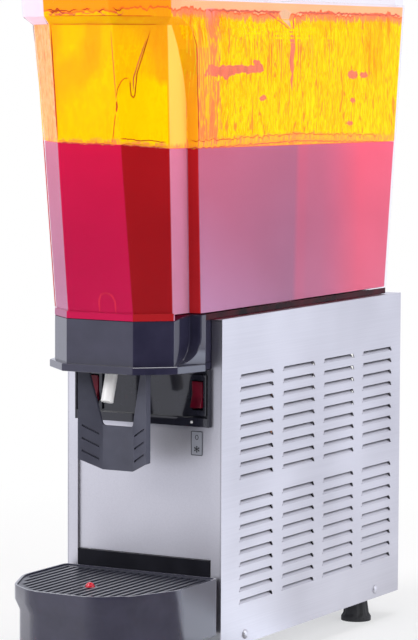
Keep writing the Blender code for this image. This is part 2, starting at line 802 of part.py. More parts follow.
def make_tray_bracket():
    """Black bracket below the front's recess, with a slotted rail for each of the tray's tongues."""
    plate = block("tray_bracket", (-COLLAR_NECK, COLLAR_NECK), (behind(-TRAY_BACK / 4), behind(RECESS + SHEET)),
                  (FOOT_HEIGHT + PAN_HEIGHT + 2 * FIT, RECESS_BOTTOM - FIT), black_gloss())
    for side in (-1, 1):
        x = side * TONGUE_SIDE
        rail = block("tray_rail", (x - 2 * TONGUE_HALF, x + 2 * TONGUE_HALF),
                     (behind(FIT - TRAY_BACK), behind(RECESS)),
                     (TONGUE_HEIGHT - TONGUE_HALF, TONGUE_HEIGHT + TONGUE_THICK + TONGUE_HALF), black_gloss())
        weld(plate, rail)
    for side in (-1, 1):
        x = side * TONGUE_SIDE
        slot = block("tongue_slot", (x - TONGUE_HALF - FIT, x + TONGUE_HALF + FIT),
                     (behind(-TRAY_BACK - OVERRUN), behind(RETURN)),
                     (TONGUE_HEIGHT - FIT, TONGUE_HEIGHT + TONGUE_THICK + FIT), black_gloss())
        cut(plate, slot)


def make_rear_panel():
    """Flat sheet with rows of air slots and the hole of the cord gland."""
    panel = block("rear_panel", (-INSIDE, INSIDE), (behind(CABINET_DEPTH - SHEET), behind(CABINET_DEPTH)),
                  (FOOT_HEIGHT, deck_bottom() - FIT), steel())
    slots = bmesh.new()
    for column in (-1, 1):
        centre = column * REAR_SLOT_COLUMN_PITCH / 2
        for row in range(REAR_SLOT_ROWS):
            low = REAR_SLOT_BOTTOM + row * REAR_SLOT_PITCH
            outline = [(centre - REAR_SLOT_WIDTH / 2, low), (centre + REAR_SLOT_WIDTH / 2, low),
                       (centre + REAR_SLOT_WIDTH / 2, low + REAR_SLOT_HEIGHT),
                       (centre - REAR_SLOT_WIDTH / 2, low + REAR_SLOT_HEIGHT)]
            add_prism_y(slots, outline, behind(CABINET_DEPTH - SHEET - OVERRUN), behind(CABINET_DEPTH + OVERRUN))
    tool = from_bmesh("rear_slots", slots, steel())
    hole = rod("gland_hole", GLAND_RADIUS * 0.7 + FIT, CABINET_DEPTH - OVERRUN, CABINET_DEPTH + OVERRUN,
               (GLAND_X, behind(0), GLAND_HEIGHT), steel(), ROUND_STEPS, "Y")
    cut(panel, tool, hole)


def make_cord_gland():
    """Bushing that the mains cord passes through."""
    neck = GLAND_RADIUS * 0.7
    rear = CABINET_DEPTH
    profile = [(GLAND_BORE, rear - SHEET - GLAND_PROUD), (neck, rear - SHEET - GLAND_PROUD),
               (neck, rear + FIT), (GLAND_RADIUS, rear + FIT), (GLAND_RADIUS, rear + GLAND_PROUD / 2),
               (neck, rear + GLAND_PROUD), (GLAND_BORE, rear + GLAND_PROUD)]
    turned("cord_gland", profile, (GLAND_X, behind(0), GLAND_HEIGHT), rubber(), ROUND_STEPS, "Y")


def make_top_deck():
    """Sheet under the bowl with a turned-down edge on each side and the evaporator's hole."""
    low = deck_bottom()
    top = CABINET_TOP - FIT
    front = behind(FIT)
    rear = behind(CABINET_DEPTH)
    deck = block("top_deck", (-INSIDE, INSIDE), (front, rear), (low, top), steel())
    for side in (-1, 1):
        edge = sorted((side * INSIDE, side * (INSIDE - SHEET)))
        skirt = block("deck_edge", edge, (behind(RETURN + FIT), behind(CABINET_DEPTH - SHEET - FIT)),
                      (low - RETURN, low + SHEET / 2), steel())
        weld(deck, skirt)
    hole = rod("evaporator_hole", EVAPORATOR_RADIUS - EVAPORATOR_WALL, low - OVERRUN, top + OVERRUN,
               (0, behind(EVAPORATOR_BACK), 0), steel(), ROUND_STEPS)
    notch = block("collar_notch", (-COLLAR_NECK - FIT, COLLAR_NECK + FIT), (behind(-OVERRUN), behind(RECESS)),
                  (low - OVERRUN, top + OVERRUN), steel())
    cut(deck, hole, notch)


def make_console():
    """Black switch plate in the recess with a small band along its foot."""
    x = COLLAR_NECK
    plate = block("console", (-x, x), (behind(-CONSOLE_PROUD), behind(RECESS - FIT)),
                  (CONSOLE_BOTTOM, COLLAR_BOTTOM - FIT), black_gloss())
    band = block("console_band", (-x, x), (behind(-CONSOLE_BAND_PROUD), behind(0)),
                 (CONSOLE_BOTTOM, CONSOLE_BAND_TOP), black_gloss())
    weld(plate, band)
    socket = rod("lamp_socket", LAMP_RADIUS + FIT, -CONSOLE_BAND_PROUD - OVERRUN, 0,
                 (LAMP_X, behind(0), lamp_height()), black_gloss(), SMALL_STEPS, "Y")
    cut(plate, socket, *switch_holes("console"))
    lens = [(0, -CONSOLE_BAND_PROUD - LAMP_RADIUS / 2), (LAMP_RADIUS * 0.7, -CONSOLE_BAND_PROUD - LAMP_RADIUS / 3),
            (LAMP_RADIUS, -CONSOLE_BAND_PROUD), (LAMP_RADIUS, -FIT), (0, -FIT)]
    turned("pilot_lamp", lens, (LAMP_X, behind(0), lamp_height()), white_plastic(), SMALL_STEPS, "Y")


def lamp_height():
    return (CONSOLE_BOTTOM + CONSOLE_BAND_TOP) / 2


def make_switches():
    """Rocker switches: a frame with a body through the panel, and a rocker on a cross pin."""
    for side, x in switch_places():
        face = behind(-CONSOLE_PROUD - FIT)
        width = BEZEL_WIDTH / 2
        length = BEZEL_LENGTH / 2
        frame = block(side + "_switch_bezel", (x - width, x + width), (face - BEZEL_THICK, face),
                      (SWITCH_HEIGHT - length, SWITCH_HEIGHT + length), black_gloss())
        body = block("switch_body", (x - width + BEZEL_MARGIN, x + width - BEZEL_MARGIN),
                     (face - BEZEL_THICK / 2, face + BEZEL_BODY_DEPTH),
                     (SWITCH_HEIGHT - length + BEZEL_MARGIN, SWITCH_HEIGHT + length - BEZEL_MARGIN), black_gloss())
        weld(frame, body)
        window = ROCKER_WIDTH / 2 + RUNNING / 2
        reach = ROCKER_LENGTH / 2 + RUNNING
        well = block("rocker_well", (x - window, x + window), (face - BEZEL_THICK - OVERRUN, face + ROCKER_DEPTH),
                     (SWITCH_HEIGHT - reach, SWITCH_HEIGHT + reach), black_gloss())
        cut(frame, well)
        pin_back = face + BEZEL_THICK
        half = ROCKER_LENGTH / 2 - RUNNING
        proud = half * math.tan(ROCKER_TILT) + BEZEL_THICK
        outline = [(-half, -BEZEL_THICK), (-half, -2 * proud), (0, -proud - BEZEL_THICK / 2), (half, -2 * proud),
                   (half, -BEZEL_THICK), (half / 2, BEZEL_THICK), (-half / 2, BEZEL_THICK)]
        points = [(y, z) for z, y in outline]
        rocker = from_bmesh(side + "_rocker", rocker_mesh(points), red_plastic())
        rocker.data.transform(Matrix.Rotation(-ROCKER_TILT, 4, "X"))
        rocker.location = (x, pin_back, SWITCH_HEIGHT)


def rocker_mesh(points):
    bm = bmesh.new()
    add_prism_x(bm, points, -ROCKER_WIDTH / 2, ROCKER_WIDTH / 2)
    return bm


def share_between(value, low, high):
    return min(max((value - low) / (high - low), 0), 1)


def arc_share(share):
    """Height of a quarter circle, from flat to steep."""
    return 1 - math.sqrt(1 - share * share)


def bowl_half(height):
    """Right half of the bowl's outline at one height, from the nose to the rear."""
    rise = height - BOWL_FLOOR
    step = share_between(height, RIM_STEP_START, RIM_STEP_END)
    fade = share_between(height, FLUTE_FADE_START, RIM_STEP_END) ** 2
    arch = arc_share(share_between(height, ARCH_START, RIM_STEP_END))
    rim = share_between(height, RIM_STEP_END, BOWL_TOP)
    side = BOWL_SIDE + BOWL_SIDE_DRAFT * rise
    shoulder = (side, behind(-SHOULDER_FRONT - SHOULDER_DRAFT * rise))
    root = mix((FLUTE_INNER + FLUTE_INNER_DRAFT * rise, shoulder[1]), shoulder, step)
    flat = (NOSE_FLAT + NOSE_FLAT_DRAFT * rise + step * RIM_STEP / 5,
            behind(-NOSE_FRONT - NOSE_FRONT_DRAFT * rise - step * RIM_STEP))
    corner = (NOSE_CORNER + NOSE_CORNER_DRAFT * rise + step * RIM_STEP * RIM_CORNER_SHARE,
              behind(-NOSE_CORNER_FRONT - NOSE_CORNER_FRONT_DRAFT * rise - step * RIM_STEP))
    inner = mix(root, corner, fade * (INNER_END_SHARE - RIM_SPREAD_SHARE * rim))
    outer = mix(shoulder, corner, arch * (OUTER_END_SHARE - RIM_SPREAD_SHARE * rim))
    rear = behind(BOWL_REAR + BOWL_REAR_DRAFT * rise)
    bulge = BOWL_REAR_CORNER * (1 - math.sqrt(0.5))
    return [flat, corner, inner, outer, (side, rear - BOWL_REAR_CORNER), (side - bulge, rear - bulge),
            (side - BOWL_REAR_CORNER, rear)]


def bowl_levels():
    fade = [FLUTE_FADE_START + (ARCH_START - FLUTE_FADE_START) * k / 3 for k in range(4)]
    arch = [ARCH_START + (RIM_STEP_START - ARCH_START) * k / 2 for k in (1, 2)]
    step = [RIM_STEP_START + (RIM_STEP_END - RIM_STEP_START) * share for share in (0.4, 0.7, 0.9, 1.0)]
    return [BOWL_FLOOR + BOWL_WALL] + fade + arch + step + [BOWL_TOP]


def make_bowl():
    """Clear drafted bowl: chamfered nose, side flutes that close in an arch, and a stepped rim."""
    levels = bowl_levels()
    outer = [at_level(mirrored(bowl_half(z)), z) for z in [BOWL_FLOOR] + levels[1:]]
    inner = [at_level(grown(mirrored(bowl_half(z)), -BOWL_WALL), z) for z in reversed(levels)]
    bowl = loft("bowl", outer + inner, clear(), smooth=20)
    for x in (-LUG_SIDE, LUG_SIDE):
        for back in (LUG_FRONT, LUG_REAR):
            lug = block("bowl_lug", (x - LUG_SIZE / 2, x + LUG_SIZE / 2),
                        (behind(back - LUG_SIZE), behind(back + LUG_SIZE)),
                        (CABINET_TOP, BOWL_FLOOR + BOWL_WALL / 2), clear())
            weld(bowl, lug)
    low = BOWL_FLOOR - OVERRUN
    high = BOWL_FLOOR + BOWL_WALL + OVERRUN
    cut(bowl, rod("evaporator_opening", bowl_hole(), low, high, (0, behind(EVAPORATOR_BACK), 0), clear(), ROUND_STEPS),
        rod("outlet", TAP_BARREL_RADIUS + FIT, low, high, (0, behind(-TAP_FRONT), 0), clear(), ROUND_STEPS))


def bowl_hole():
    return EVAPORATOR_RADIUS + GASKET_WALL + 2 * FIT


def collar_outline(ramp, lip):
    """Collar outline with its flute swept forward by ramp and its foot moved out by lip."""
    flat, corner, inner, outer = bowl_half(BOWL_FLOOR)[:4]
    foot = (corner[0] + COLLAR_LIP, corner[1] - COLLAR_LIP / 3)
    swept_inner = mix(inner, corner, ramp * INNER_END_SHARE)
    swept_outer = mix(outer, foot, ramp * INNER_END_SHARE)
    if lip:
        flat = (flat[0] + COLLAR_LIP / 2, flat[1] - COLLAR_LIP)
        corner = foot
        swept_inner = mix(outer, foot, (1 + INNER_END_SHARE) / 2)
    back = behind(-COLLAR_BACK)
    return mirrored([flat, corner, swept_inner, swept_outer, (BOWL_SIDE, back), (COLLAR_NECK, back),
                     (COLLAR_NECK, behind(RECESS - FIT))])


def make_collar():
    """Skirt that carries the bowl's nose down to a lip; open above and below for the tap."""
    sections = [at_level(collar_outline(1, True), COLLAR_BOTTOM),
                at_level(collar_outline(1, True), COLLAR_LIP_TOP - COLLAR_LIP / 5)]
    for share in (1.0, 0.95, 0.8, 0.6, 0.35, 0.0):
        height = COLLAR_RAMP_TOP - share * (COLLAR_RAMP_TOP - COLLAR_LIP_TOP)
        sections.append(at_level(collar_outline(arc_share(share), False), height))
    top = BOWL_FLOOR - FIT
    sections.append(at_level(collar_outline(0, False), top))
    inner = grown(collar_outline(0, False), -COLLAR_WALL)
    sections += [at_level(inner, top), at_level(inner, COLLAR_BOTTOM)]
    loft("bowl_collar", sections, black_gloss(), smooth=20, closed=True)


def make_lid():
    """Moulded cover: an edge on the bowl's rim, a plug inside it and a raised crown with a grip."""
    rim = mirrored(bowl_half(BOWL_TOP))
    low = BOWL_TOP + FIT
    foot = low - LID_PLUG_DEPTH
    below = mirrored(bowl_half(foot))
    plug = BOWL_WALL + RUNNING
    shoulder = LID_TOP - LID_WALL
    inside = plug + LID_PLUG_WALL
    steps = [(rim, -LID_CROWN_IN - LID_WALL, LID_TOP), (rim, -LID_CROWN_IN, shoulder),
             (rim, -LID_STEP_IN, low + LID_EDGE), (rim, 0, low + LID_EDGE), (rim, 0, low), (rim, -plug, low),
             (below, -plug, foot), (below, -inside, foot), (rim, -inside - LID_WALL, low + LID_EDGE / 2),
             (rim, -LID_CROWN_IN - LID_WALL, shoulder - LID_WALL), (rim, -LID_CROWN_IN - 2 * LID_WALL, shoulder)]
    sections = [at_level(grown(outline, amount), height) for outline, amount, height in steps]
    lid = loft("lid", sections, clear(), smooth=20)
    half = LID_GRIP_LENGTH / 2
    middle = (bowl_half(BOWL_TOP)[0][1] + bowl_half(BOWL_TOP)[-1][1]) / 2
    outline = [(-LID_GRIP_WIDTH / 2, middle - half), (LID_GRIP_WIDTH / 2, middle - half),
               (LID_GRIP_WIDTH / 2, middle + half), (-LID_GRIP_WIDTH / 2, middle + half)]
    grip = prism("lid_grip", filleted(outline, [LID_GRIP_WIDTH / 2 - FIT] * 4), LID_TOP - LID_WALL / 2,
                 LID_TOP + LID_GRIP_HEIGHT, clear())
    weld(lid, grip)


def tap_y():
    return behind(-TAP_FRONT)


def make_tap():
    """Valve body in the bowl's outlet, with the plunger, its seal, link pin, spring and spout."""
    seat = BOWL_FLOOR - FIT
    shelf = seat - TAP_FLANGE_THICK
    chamfer = TAP_BARREL_RADIUS / 5
    ceiling = TAP_TOP - TAP_CAP
    barrel = turned("tap_barrel", [(0, ceiling), (TAP_BORE, ceiling), (TAP_BORE, shelf), (TAP_FLANGE_RADIUS, shelf),
                                   (TAP_FLANGE_RADIUS, seat), (TAP_BARREL_RADIUS, seat),
                                   (TAP_BARREL_RADIUS, TAP_TOP - chamfer), (TAP_BARREL_RADIUS - chamfer, TAP_TOP),
                                   (0, TAP_TOP)], (0, tap_y(), 0), dark_plastic())
    body = block("tap_body", (-TAP_BLOCK_HALF, TAP_BLOCK_HALF),
                 (behind(-TAP_BLOCK_FRONT), behind(-TAP_BLOCK_BACK)), (TAP_BLOCK_BOTTOM, shelf + SHEET), dark_plastic())
    bore = rod("tap_bore", TAP_BORE + FIT, TAP_BLOCK_BOTTOM + OVERRUN, seat + OVERRUN, (0, tap_y(), 0),
               dark_plastic(), ROUND_STEPS)
    window_low = BOWL_FLOOR + BOWL_WALL + FIT
    windows = [block("tap_window", (-3 * SEAL_THICK, 3 * SEAL_THICK), (tap_y() - SEAL_THICK, tap_y() + SEAL_THICK),
                     (window_low, window_low + 2 * SEAL_THICK), dark_plastic()),
               block("tap_window", (-SEAL_THICK, SEAL_THICK), (tap_y() - 3 * SEAL_THICK, tap_y() + 3 * SEAL_THICK),
                     (window_low, window_low + 2 * SEAL_THICK), dark_plastic())]
    slot = block("link_slot", (-TAP_BLOCK_HALF - OVERRUN, TAP_BLOCK_HALF + OVERRUN),
                 (tap_y() - LINK_RADIUS - RUNNING, tap_y() + LINK_RADIUS + RUNNING),
                 (LINK_HEIGHT - LINK_RADIUS - RUNNING, LINK_HEIGHT + plunger_lift() + LINK_RADIUS + RUNNING),
                 dark_plastic())
    pivot = rod("pivot_hole", PIVOT_RADIUS + FIT, -TAP_BLOCK_HALF - OVERRUN, TAP_BLOCK_HALF + OVERRUN,
                (0, behind(-PIVOT_FRONT), PIVOT_HEIGHT), dark_plastic(), SMALL_STEPS, "X")
    socket = rod("spout_socket", SPOUT_RADIUS + FIT, -SPOUT_LENGTH, SPOUT_LENGTH + FIT, (0, 0, 0),
                 dark_plastic(), ROUND_STEPS)
    lean_spout(socket)
    cut(body, bore, slot, pivot, socket)
    cut(barrel, *windows)
    weld(body, barrel)

    spout = tube_ring("spout", SPOUT_BORE, SPOUT_RADIUS, 0, SPOUT_LENGTH, (0, 0, 0), white_plastic())
    lean_spout(spout)

    rod("lever_pin", PIVOT_RADIUS, -PIVOT_HALF, PIVOT_HALF, (0, behind(-PIVOT_FRONT), PIVOT_HEIGHT),
        steel(), SMALL_STEPS, "X")

    seal_low = window_low - SEAL_THICK / 2
    neck = PLUNGER_RADIUS * 0.7
    foot = LINK_HEIGHT - PLUNGER_FOOT
    cap = seal_low + SEAL_THICK + FIT
    plunger = turned("tap_plunger", [(0, foot), (PLUNGER_RADIUS, foot),
                                     (PLUNGER_RADIUS, seal_low - FIT), (neck, seal_low - FIT), (neck, cap),
                                     (PLUNGER_RADIUS, cap), (PLUNGER_RADIUS, cap + SHEET), (0, cap + SHEET)],
                     (0, tap_y(), 0), white_plastic())
    eye = rod("link_eye", LINK_RADIUS + FIT, -LINK_HALF, LINK_HALF, (0, tap_y(), LINK_HEIGHT),
              white_plastic(), SMALL_STEPS, "X")
    cut(plunger, eye)
    tube_ring("plunger_seal", neck + FIT, SEAL_RADIUS, seal_low, seal_low + SEAL_THICK, (0, tap_y(), 0), rubber())
    rod("plunger_pin", LINK_RADIUS, -LINK_HALF, LINK_HALF, (0, tap_y(), LINK_HEIGHT), steel(), SMALL_STEPS, "X")
    make_tap_spring(cap + SHEET + FIT, ceiling - FIT)


def plunger_lift():
    return (PIVOT_FRONT - TAP_FRONT) * math.sin(LEVER_TRAVEL)


def lean_spout(item):
    """Stand a piece made at the origin on the spout's leaning axis, its end at the spout's tip."""
    item.data.transform(Matrix.Rotation(-SPOUT_TILT, 4, "X"))
    item.data.transform(Matrix.Translation((0, behind(-SPOUT_TIP_FRONT), SPOUT_TIP_HEIGHT)))


def make_tap_spring(low, high):
    """Coil spring above the plunger, from its cap to the barrel's closed top."""
    per_turn = 8
    count = TAP_SPRING_TURNS * per_turn
    first = low + TAP_SPRING_WIRE
    last = high - TAP_SPRING_WIRE
    route = []
    for k in range(count + 1):
        angle = math.tau * k / per_turn
        route.append((TAP_SPRING_RADIUS * math.cos(angle), tap_y() + TAP_SPRING_RADIUS * math.sin(angle),
                      first + (last - first) * k / count))
    gap = (last - first) / TAP_SPRING_TURNS - 2 * TAP_SPRING_WIRE
    print("least gap in the tap spring:", round(gap * 1000, 3), "mm")
    pipe("plunger_spring", route, TAP_SPRING_WIRE, steel())


def wing_y(x):
    slope = (LEVER_WING_FRONT - LEVER_FACET_FRONT) / (LEVER_HALF - LEVER_FACET)
    return behind(-LEVER_FACET_FRONT - slope * max(abs(x) - LEVER_FACET, 0))


def make_lever():
    """Forked push lever: a dished paddle, two arms, and ears that hang on the pin and lift the plunger."""
    half = LEVER_HALF
    back = half - LEVER_THICK
    rear = behind(LEVER_FLANGE - LEVER_WING_FRONT)
    right = [(LEVER_FACET, wing_y(LEVER_FACET)), (half, wing_y(half)), (half, rear), (back, rear),
             (back, wing_y(back) + LEVER_THICK), (LEVER_FACET - SHEET, wing_y(0) + LEVER_THICK)]
    shell = prism("tap_lever", mirrored(right), LEVER_BOTTOM, LEVER_TOP, dark_plastic())
    front = behind(-LEVER_WING_FRONT - OVERRUN)
    deep = max(rear, wing_y(0) + LEVER_THICK) + OVERRUN
    top = LEVER_TOP + OVERRUN
    spread = NOTCH_BOTTOM_HALF + (NOTCH_TOP_HALF - NOTCH_BOTTOM_HALF) * (top - NOTCH_BOTTOM) / (COLLAR_BOTTOM - NOTCH_BOTTOM)
    outline = filleted([(-NOTCH_BOTTOM_HALF, NOTCH_BOTTOM), (NOTCH_BOTTOM_HALF, NOTCH_BOTTOM),
                        (spread, top), (-spread, top)], [LEVER_THICK, LEVER_THICK, 0, 0])
    notch = prism("lever_notch", outline, front, deep, dark_plastic(), "Y")
    trims = []
    for side in (-1, 1):
        corner = [(side * LEVER_FACET, LEVER_BOTTOM), (side * (half + OVERRUN), LEVER_WING_BOTTOM),
                  (side * (half + OVERRUN), LEVER_BOTTOM - OVERRUN), (side * LEVER_FACET, LEVER_BOTTOM - OVERRUN)]
        trims.append(prism("lever_trim", corner, front, deep, dark_plastic(), "Y"))
    cut(shell, notch, *trims, lever_grooves())
    hooks = []
    for side in (-1, 1):
        bar_x = sorted((side * EAR_INNER, side * (half - SHEET)))
        hooks.append(block("lever_bar", bar_x, (wing_y(back), rear - SHEET), (LEVER_TOP - 2 * LEVER_THICK, LEVER_TOP + FIT),
                           dark_plastic()))
        y = behind(-PIVOT_FRONT)
        ear = [(y - EAR_RADIUS * 0.7, PIVOT_HEIGHT + EAR_RADIUS * 0.7), (y - EAR_RADIUS, PIVOT_HEIGHT),
               (y - EAR_RADIUS * 0.7, PIVOT_HEIGHT - EAR_RADIUS * 0.7), (y + EAR_RADIUS, PIVOT_HEIGHT - EAR_RADIUS),
               (wing_y(back), LEVER_TOP - LEVER_THICK), (rear - SHEET, LEVER_TOP - LEVER_THICK),
               (rear - SHEET, PIVOT_HEIGHT + EAR_RADIUS / 2), (rear - SHEET - EAR_RADIUS, PIVOT_HEIGHT + EAR_RADIUS)]
        limits = sorted((side * EAR_INNER, side * (EAR_INNER + EAR_THICK)))
        hooks.append(prism("lever_ear", ear, limits[0], limits[1], dark_plastic(), "X"))
    weld(shell, *hooks)
    reach = EAR_INNER + EAR_THICK + OVERRUN
    pivot = rod("ear_hole", PIVOT_RADIUS + FIT, -reach, reach, (0, behind(-PIVOT_FRONT), PIVOT_HEIGHT),
                dark_plastic(), SMALL_STEPS, "X")
    eye = block("ear_slot", (-reach, reach), (tap_y() - LINK_RADIUS - RUNNING, tap_y() + LINK_RADIUS + RUNNING),
                (LINK_HEIGHT - LINK_RADIUS - RUNNING / 2, LINK_HEIGHT + LINK_RADIUS + RUNNING / 2), dark_plastic())
    cut(shell, pivot, eye)
    for item in (shell, notch, *trims, *hooks, pivot, eye, bpy.data.objects["lever_grooves"]):
        item.data.transform(Matrix.Translation((0, -behind(-PIVOT_FRONT), -PIVOT_HEIGHT)))
        item.location = (0, behind(-PIVOT_FRONT), PIVOT_HEIGHT)


def lever_grooves():
    """Three slanted grip grooves in each wing of the paddle, cut square to the wing."""
    bm = bmesh.new()
    inner_x = LEVER_FACET + RIB_MARGIN
    outer_x = LEVER_HALF - RIB_MARGIN
    fall = RIB_FALL
    for side in (-1, 1):
        for k in range(RIB_COUNT):
            high = NOTCH_BOTTOM - RIB_FIRST - k * RIB_PITCH
            corners = [(side * outer_x, high), (side * inner_x, high - fall), (side * inner_x, high - fall - RIB_GROOVE),
                       (side * outer_x, high - RIB_GROOVE)]
            start = [bm.verts.new((x, wing_y(x) - OVERRUN, z)) for x, z in corners]
            end = [bm.verts.new((x, wing_y(x) + RIB_GROOVE, z)) for x, z in corners]
            close_prism(bm, start, end)
    return from_bmesh("lever_grooves", bm, dark_plastic())


def tray_outline(inset):
    front = behind(-TRAY_REACH + inset)
    right = [(TRAY_FLAT - inset / 2, front), (TRAY_CORNER - inset * 0.8, behind(-TRAY_CORNER_FRONT + inset * 0.7)),
             (HALF, behind(-TRAY_SHOULDER_FRONT)), (HALF, behind(-TRAY_BACK))]
    radii = TRAY_FRONT_RADIUS, TRAY_FRONT_RADIUS, TRAY_SIDE_RADIUS, TRAY_REAR_RADIUS
    return filleted(mirrored(right), list(radii) + list(reversed(radii)), 3)


def tray_seat():
    return TRAY_TOP - GRILLE_DROP - GRILLE_THICK - FIT


def make_tray():
    """Moulded drip tray: a full upper band, a sloped ledge, a set-in body, and tongues at the back."""
    full = tray_outline(0)
    body = tray_outline(TRAY_INSET)
    seat = tray_seat()
    sections = [at_level(body, TRAY_BOTTOM), at_level(body, TRAY_LEDGE_LOW), at_level(full, TRAY_LEDGE_HIGH),
                at_level(full, TRAY_TOP), at_level(grown(full, -TRAY_WALL), TRAY_TOP),
                at_level(grown(full, -TRAY_WALL), seat), at_level(grown(full, -TRAY_WALL - TRAY_SEAT), seat),
                at_level(grown(full, -TRAY_WALL - TRAY_SEAT), TRAY_LEDGE_HIGH),
                at_level(grown(body, -TRAY_WALL), TRAY_LEDGE_LOW), at_level(grown(body, -TRAY_WALL), TRAY_BOTTOM + TRAY_WALL)]
    tray = loft("drip_tray", sections, black_gloss(), smooth=35)
    for side in (-1, 1):
        x = side * TONGUE_SIDE
        tongue = block("tray_tongue", (x - TONGUE_HALF, x + TONGUE_HALF),
                       (behind(-TRAY_BACK - TRAY_WALL / 2), behind(TONGUE_REACH - TRAY_BACK)),
                       (TONGUE_HEIGHT, TONGUE_HEIGHT + TONGUE_THICK), black_gloss())
        weld(tray, tongue)


def outline_front(outline, x):
    """Smallest Y of an outline at one X."""
    lowest = behind(0)
    for i in range(len(outline)):
        (x0, y0), (x1, y1) = outline[i - 1], outline[i]
        if min(x0, x1) <= x <= max(x0, x1) and x0 != x1:
            lowest = min(lowest, y0 + (y1 - y0) * (x - x0) / (x1 - x0))
    return lowest


def make_grille():
    """Slotted grille that drops into the tray, with a round hole for the level float."""
    outline = grown(tray_outline(0), -TRAY_WALL - RUNNING / 2)
    low = tray_seat() + FIT
    grille = prism("drip_grille", outline, low, low + GRILLE_THICK, dark_plastic())
    slots = bmesh.new()
    rear = behind(-TRAY_BACK - TRAY_WALL - GRILLE_MARGIN)
    for k in range(GRILLE_HALF_COUNT):
        for side in (-1, 1):
            centre = side * (k + 0.5) * GRILLE_PITCH
            outer = centre + side * GRILLE_SLOT / 2
            front = outline_front(outline, outer) + GRILLE_MARGIN
            start = [slots.verts.new((centre + u, v, low - OVERRUN)) for u, v in
                     rectangle(GRILLE_SLOT / 2, front, rear)]
            end = [slots.verts.new((centre + u, v, low + GRILLE_THICK + OVERRUN)) for u, v in
                   rectangle(GRILLE_SLOT / 2, front, rear)]
            close_prism(slots, start, end)
    tool = from_bmesh("grille_slots", slots, dark_plastic())
    ring = tube_ring("float_guide", FLOAT_DOME + RUNNING, FLOAT_DOME + 3 * RUNNING, low, low + GRILLE_THICK,
                     (0, behind(-FLOAT_FRONT), 0), dark_plastic())
    hole = rod("float_hole", FLOAT_DOME + RUNNING, low - OVERRUN, low + GRILLE_THICK + OVERRUN,
               (0, behind(-FLOAT_FRONT), 0), dark_plastic(), ROUND_STEPS)
    cut(grille, tool)
    weld(grille, ring)
    cut(grille, hole)


def make_float():
    """Red level float: a disc on the tray's floor, a stem, and a dome that shows through the grille."""
    floor = TRAY_BOTTOM + TRAY_WALL + FIT
    top = TRAY_TOP + FLOAT_PROUD - GRILLE_DROP
    dome = top - FLOAT_DOME
    profile = [(0, floor), (FLOAT_DISC, floor), (FLOAT_DISC, floor + FLOAT_DISC_THICK),
               (FLOAT_STEM, floor + FLOAT_DISC_THICK), (FLOAT_STEM, dome - FLOAT_DOME), (FLOAT_DOME, dome - FLOAT_DOME / 2)]
    for k in range(4):
        angle = math.pi / 2 * k / 4
        profile.append((FLOAT_DOME * math.cos(angle), dome + FLOAT_DOME * math.sin(angle)))
    profile.append((0, top))
    turned("tray_float", profile, (0, behind(-FLOAT_FRONT), 0), red_plastic())


def evaporator_place():
    return (0, behind(EVAPORATOR_BACK), 0)


def make_evaporator():
    """Stainless cup over the deck's hole, with the impeller's pin on top and foam inside."""
    radius = EVAPORATOR_RADIUS
    inner = radius - EVAPORATOR_WALL
    under = EVAPORATOR_TOP - EVAPORATOR_WALL
    profile = [(0, PIN_TOP), (PIN_RADIUS, PIN_TOP), (PIN_RADIUS, EVAPORATOR_TOP),
               (radius - EVAPORATOR_SHOULDER, EVAPORATOR_TOP),
               (radius - EVAPORATOR_SHOULDER * 0.3, EVAPORATOR_TOP - EVAPORATOR_SHOULDER * 0.3),
               (radius, EVAPORATOR_TOP - EVAPORATOR_SHOULDER), (radius, CABINET_TOP + EVAPORATOR_WALL),
               (EVAPORATOR_FLANGE, CABINET_TOP + EVAPORATOR_WALL), (EVAPORATOR_FLANGE, CABINET_TOP),
               (inner, CABINET_TOP), (inner, EVAPORATOR_TOP - EVAPORATOR_SHOULDER),
               (inner - EVAPORATOR_SHOULDER, under), (0, under)]
    turned("evaporator", profile, evaporator_place(), stainless_bright())
    flange_top = bracket_top()
    outer = inner - FIT
    tube_ring("evaporator_insulation", outer - INSULATION, outer, flange_top + FIT,
              EVAPORATOR_TOP - 2 * EVAPORATOR_SHOULDER, evaporator_place(), foam())
    hole = bowl_hole() - FIT
    inside = radius + FIT
    low = CABINET_TOP + EVAPORATOR_WALL + FIT
    gasket = [(inside, low), (GASKET_LIP, low), (GASKET_LIP, BOWL_FLOOR - FIT), (hole, BOWL_FLOOR - FIT),
              (hole, GASKET_TOP), (inside, GASKET_TOP)]
    turned("bowl_gasket", gasket, evaporator_place(), white_plastic())


def bracket_top():
    return deck_bottom() - FIT


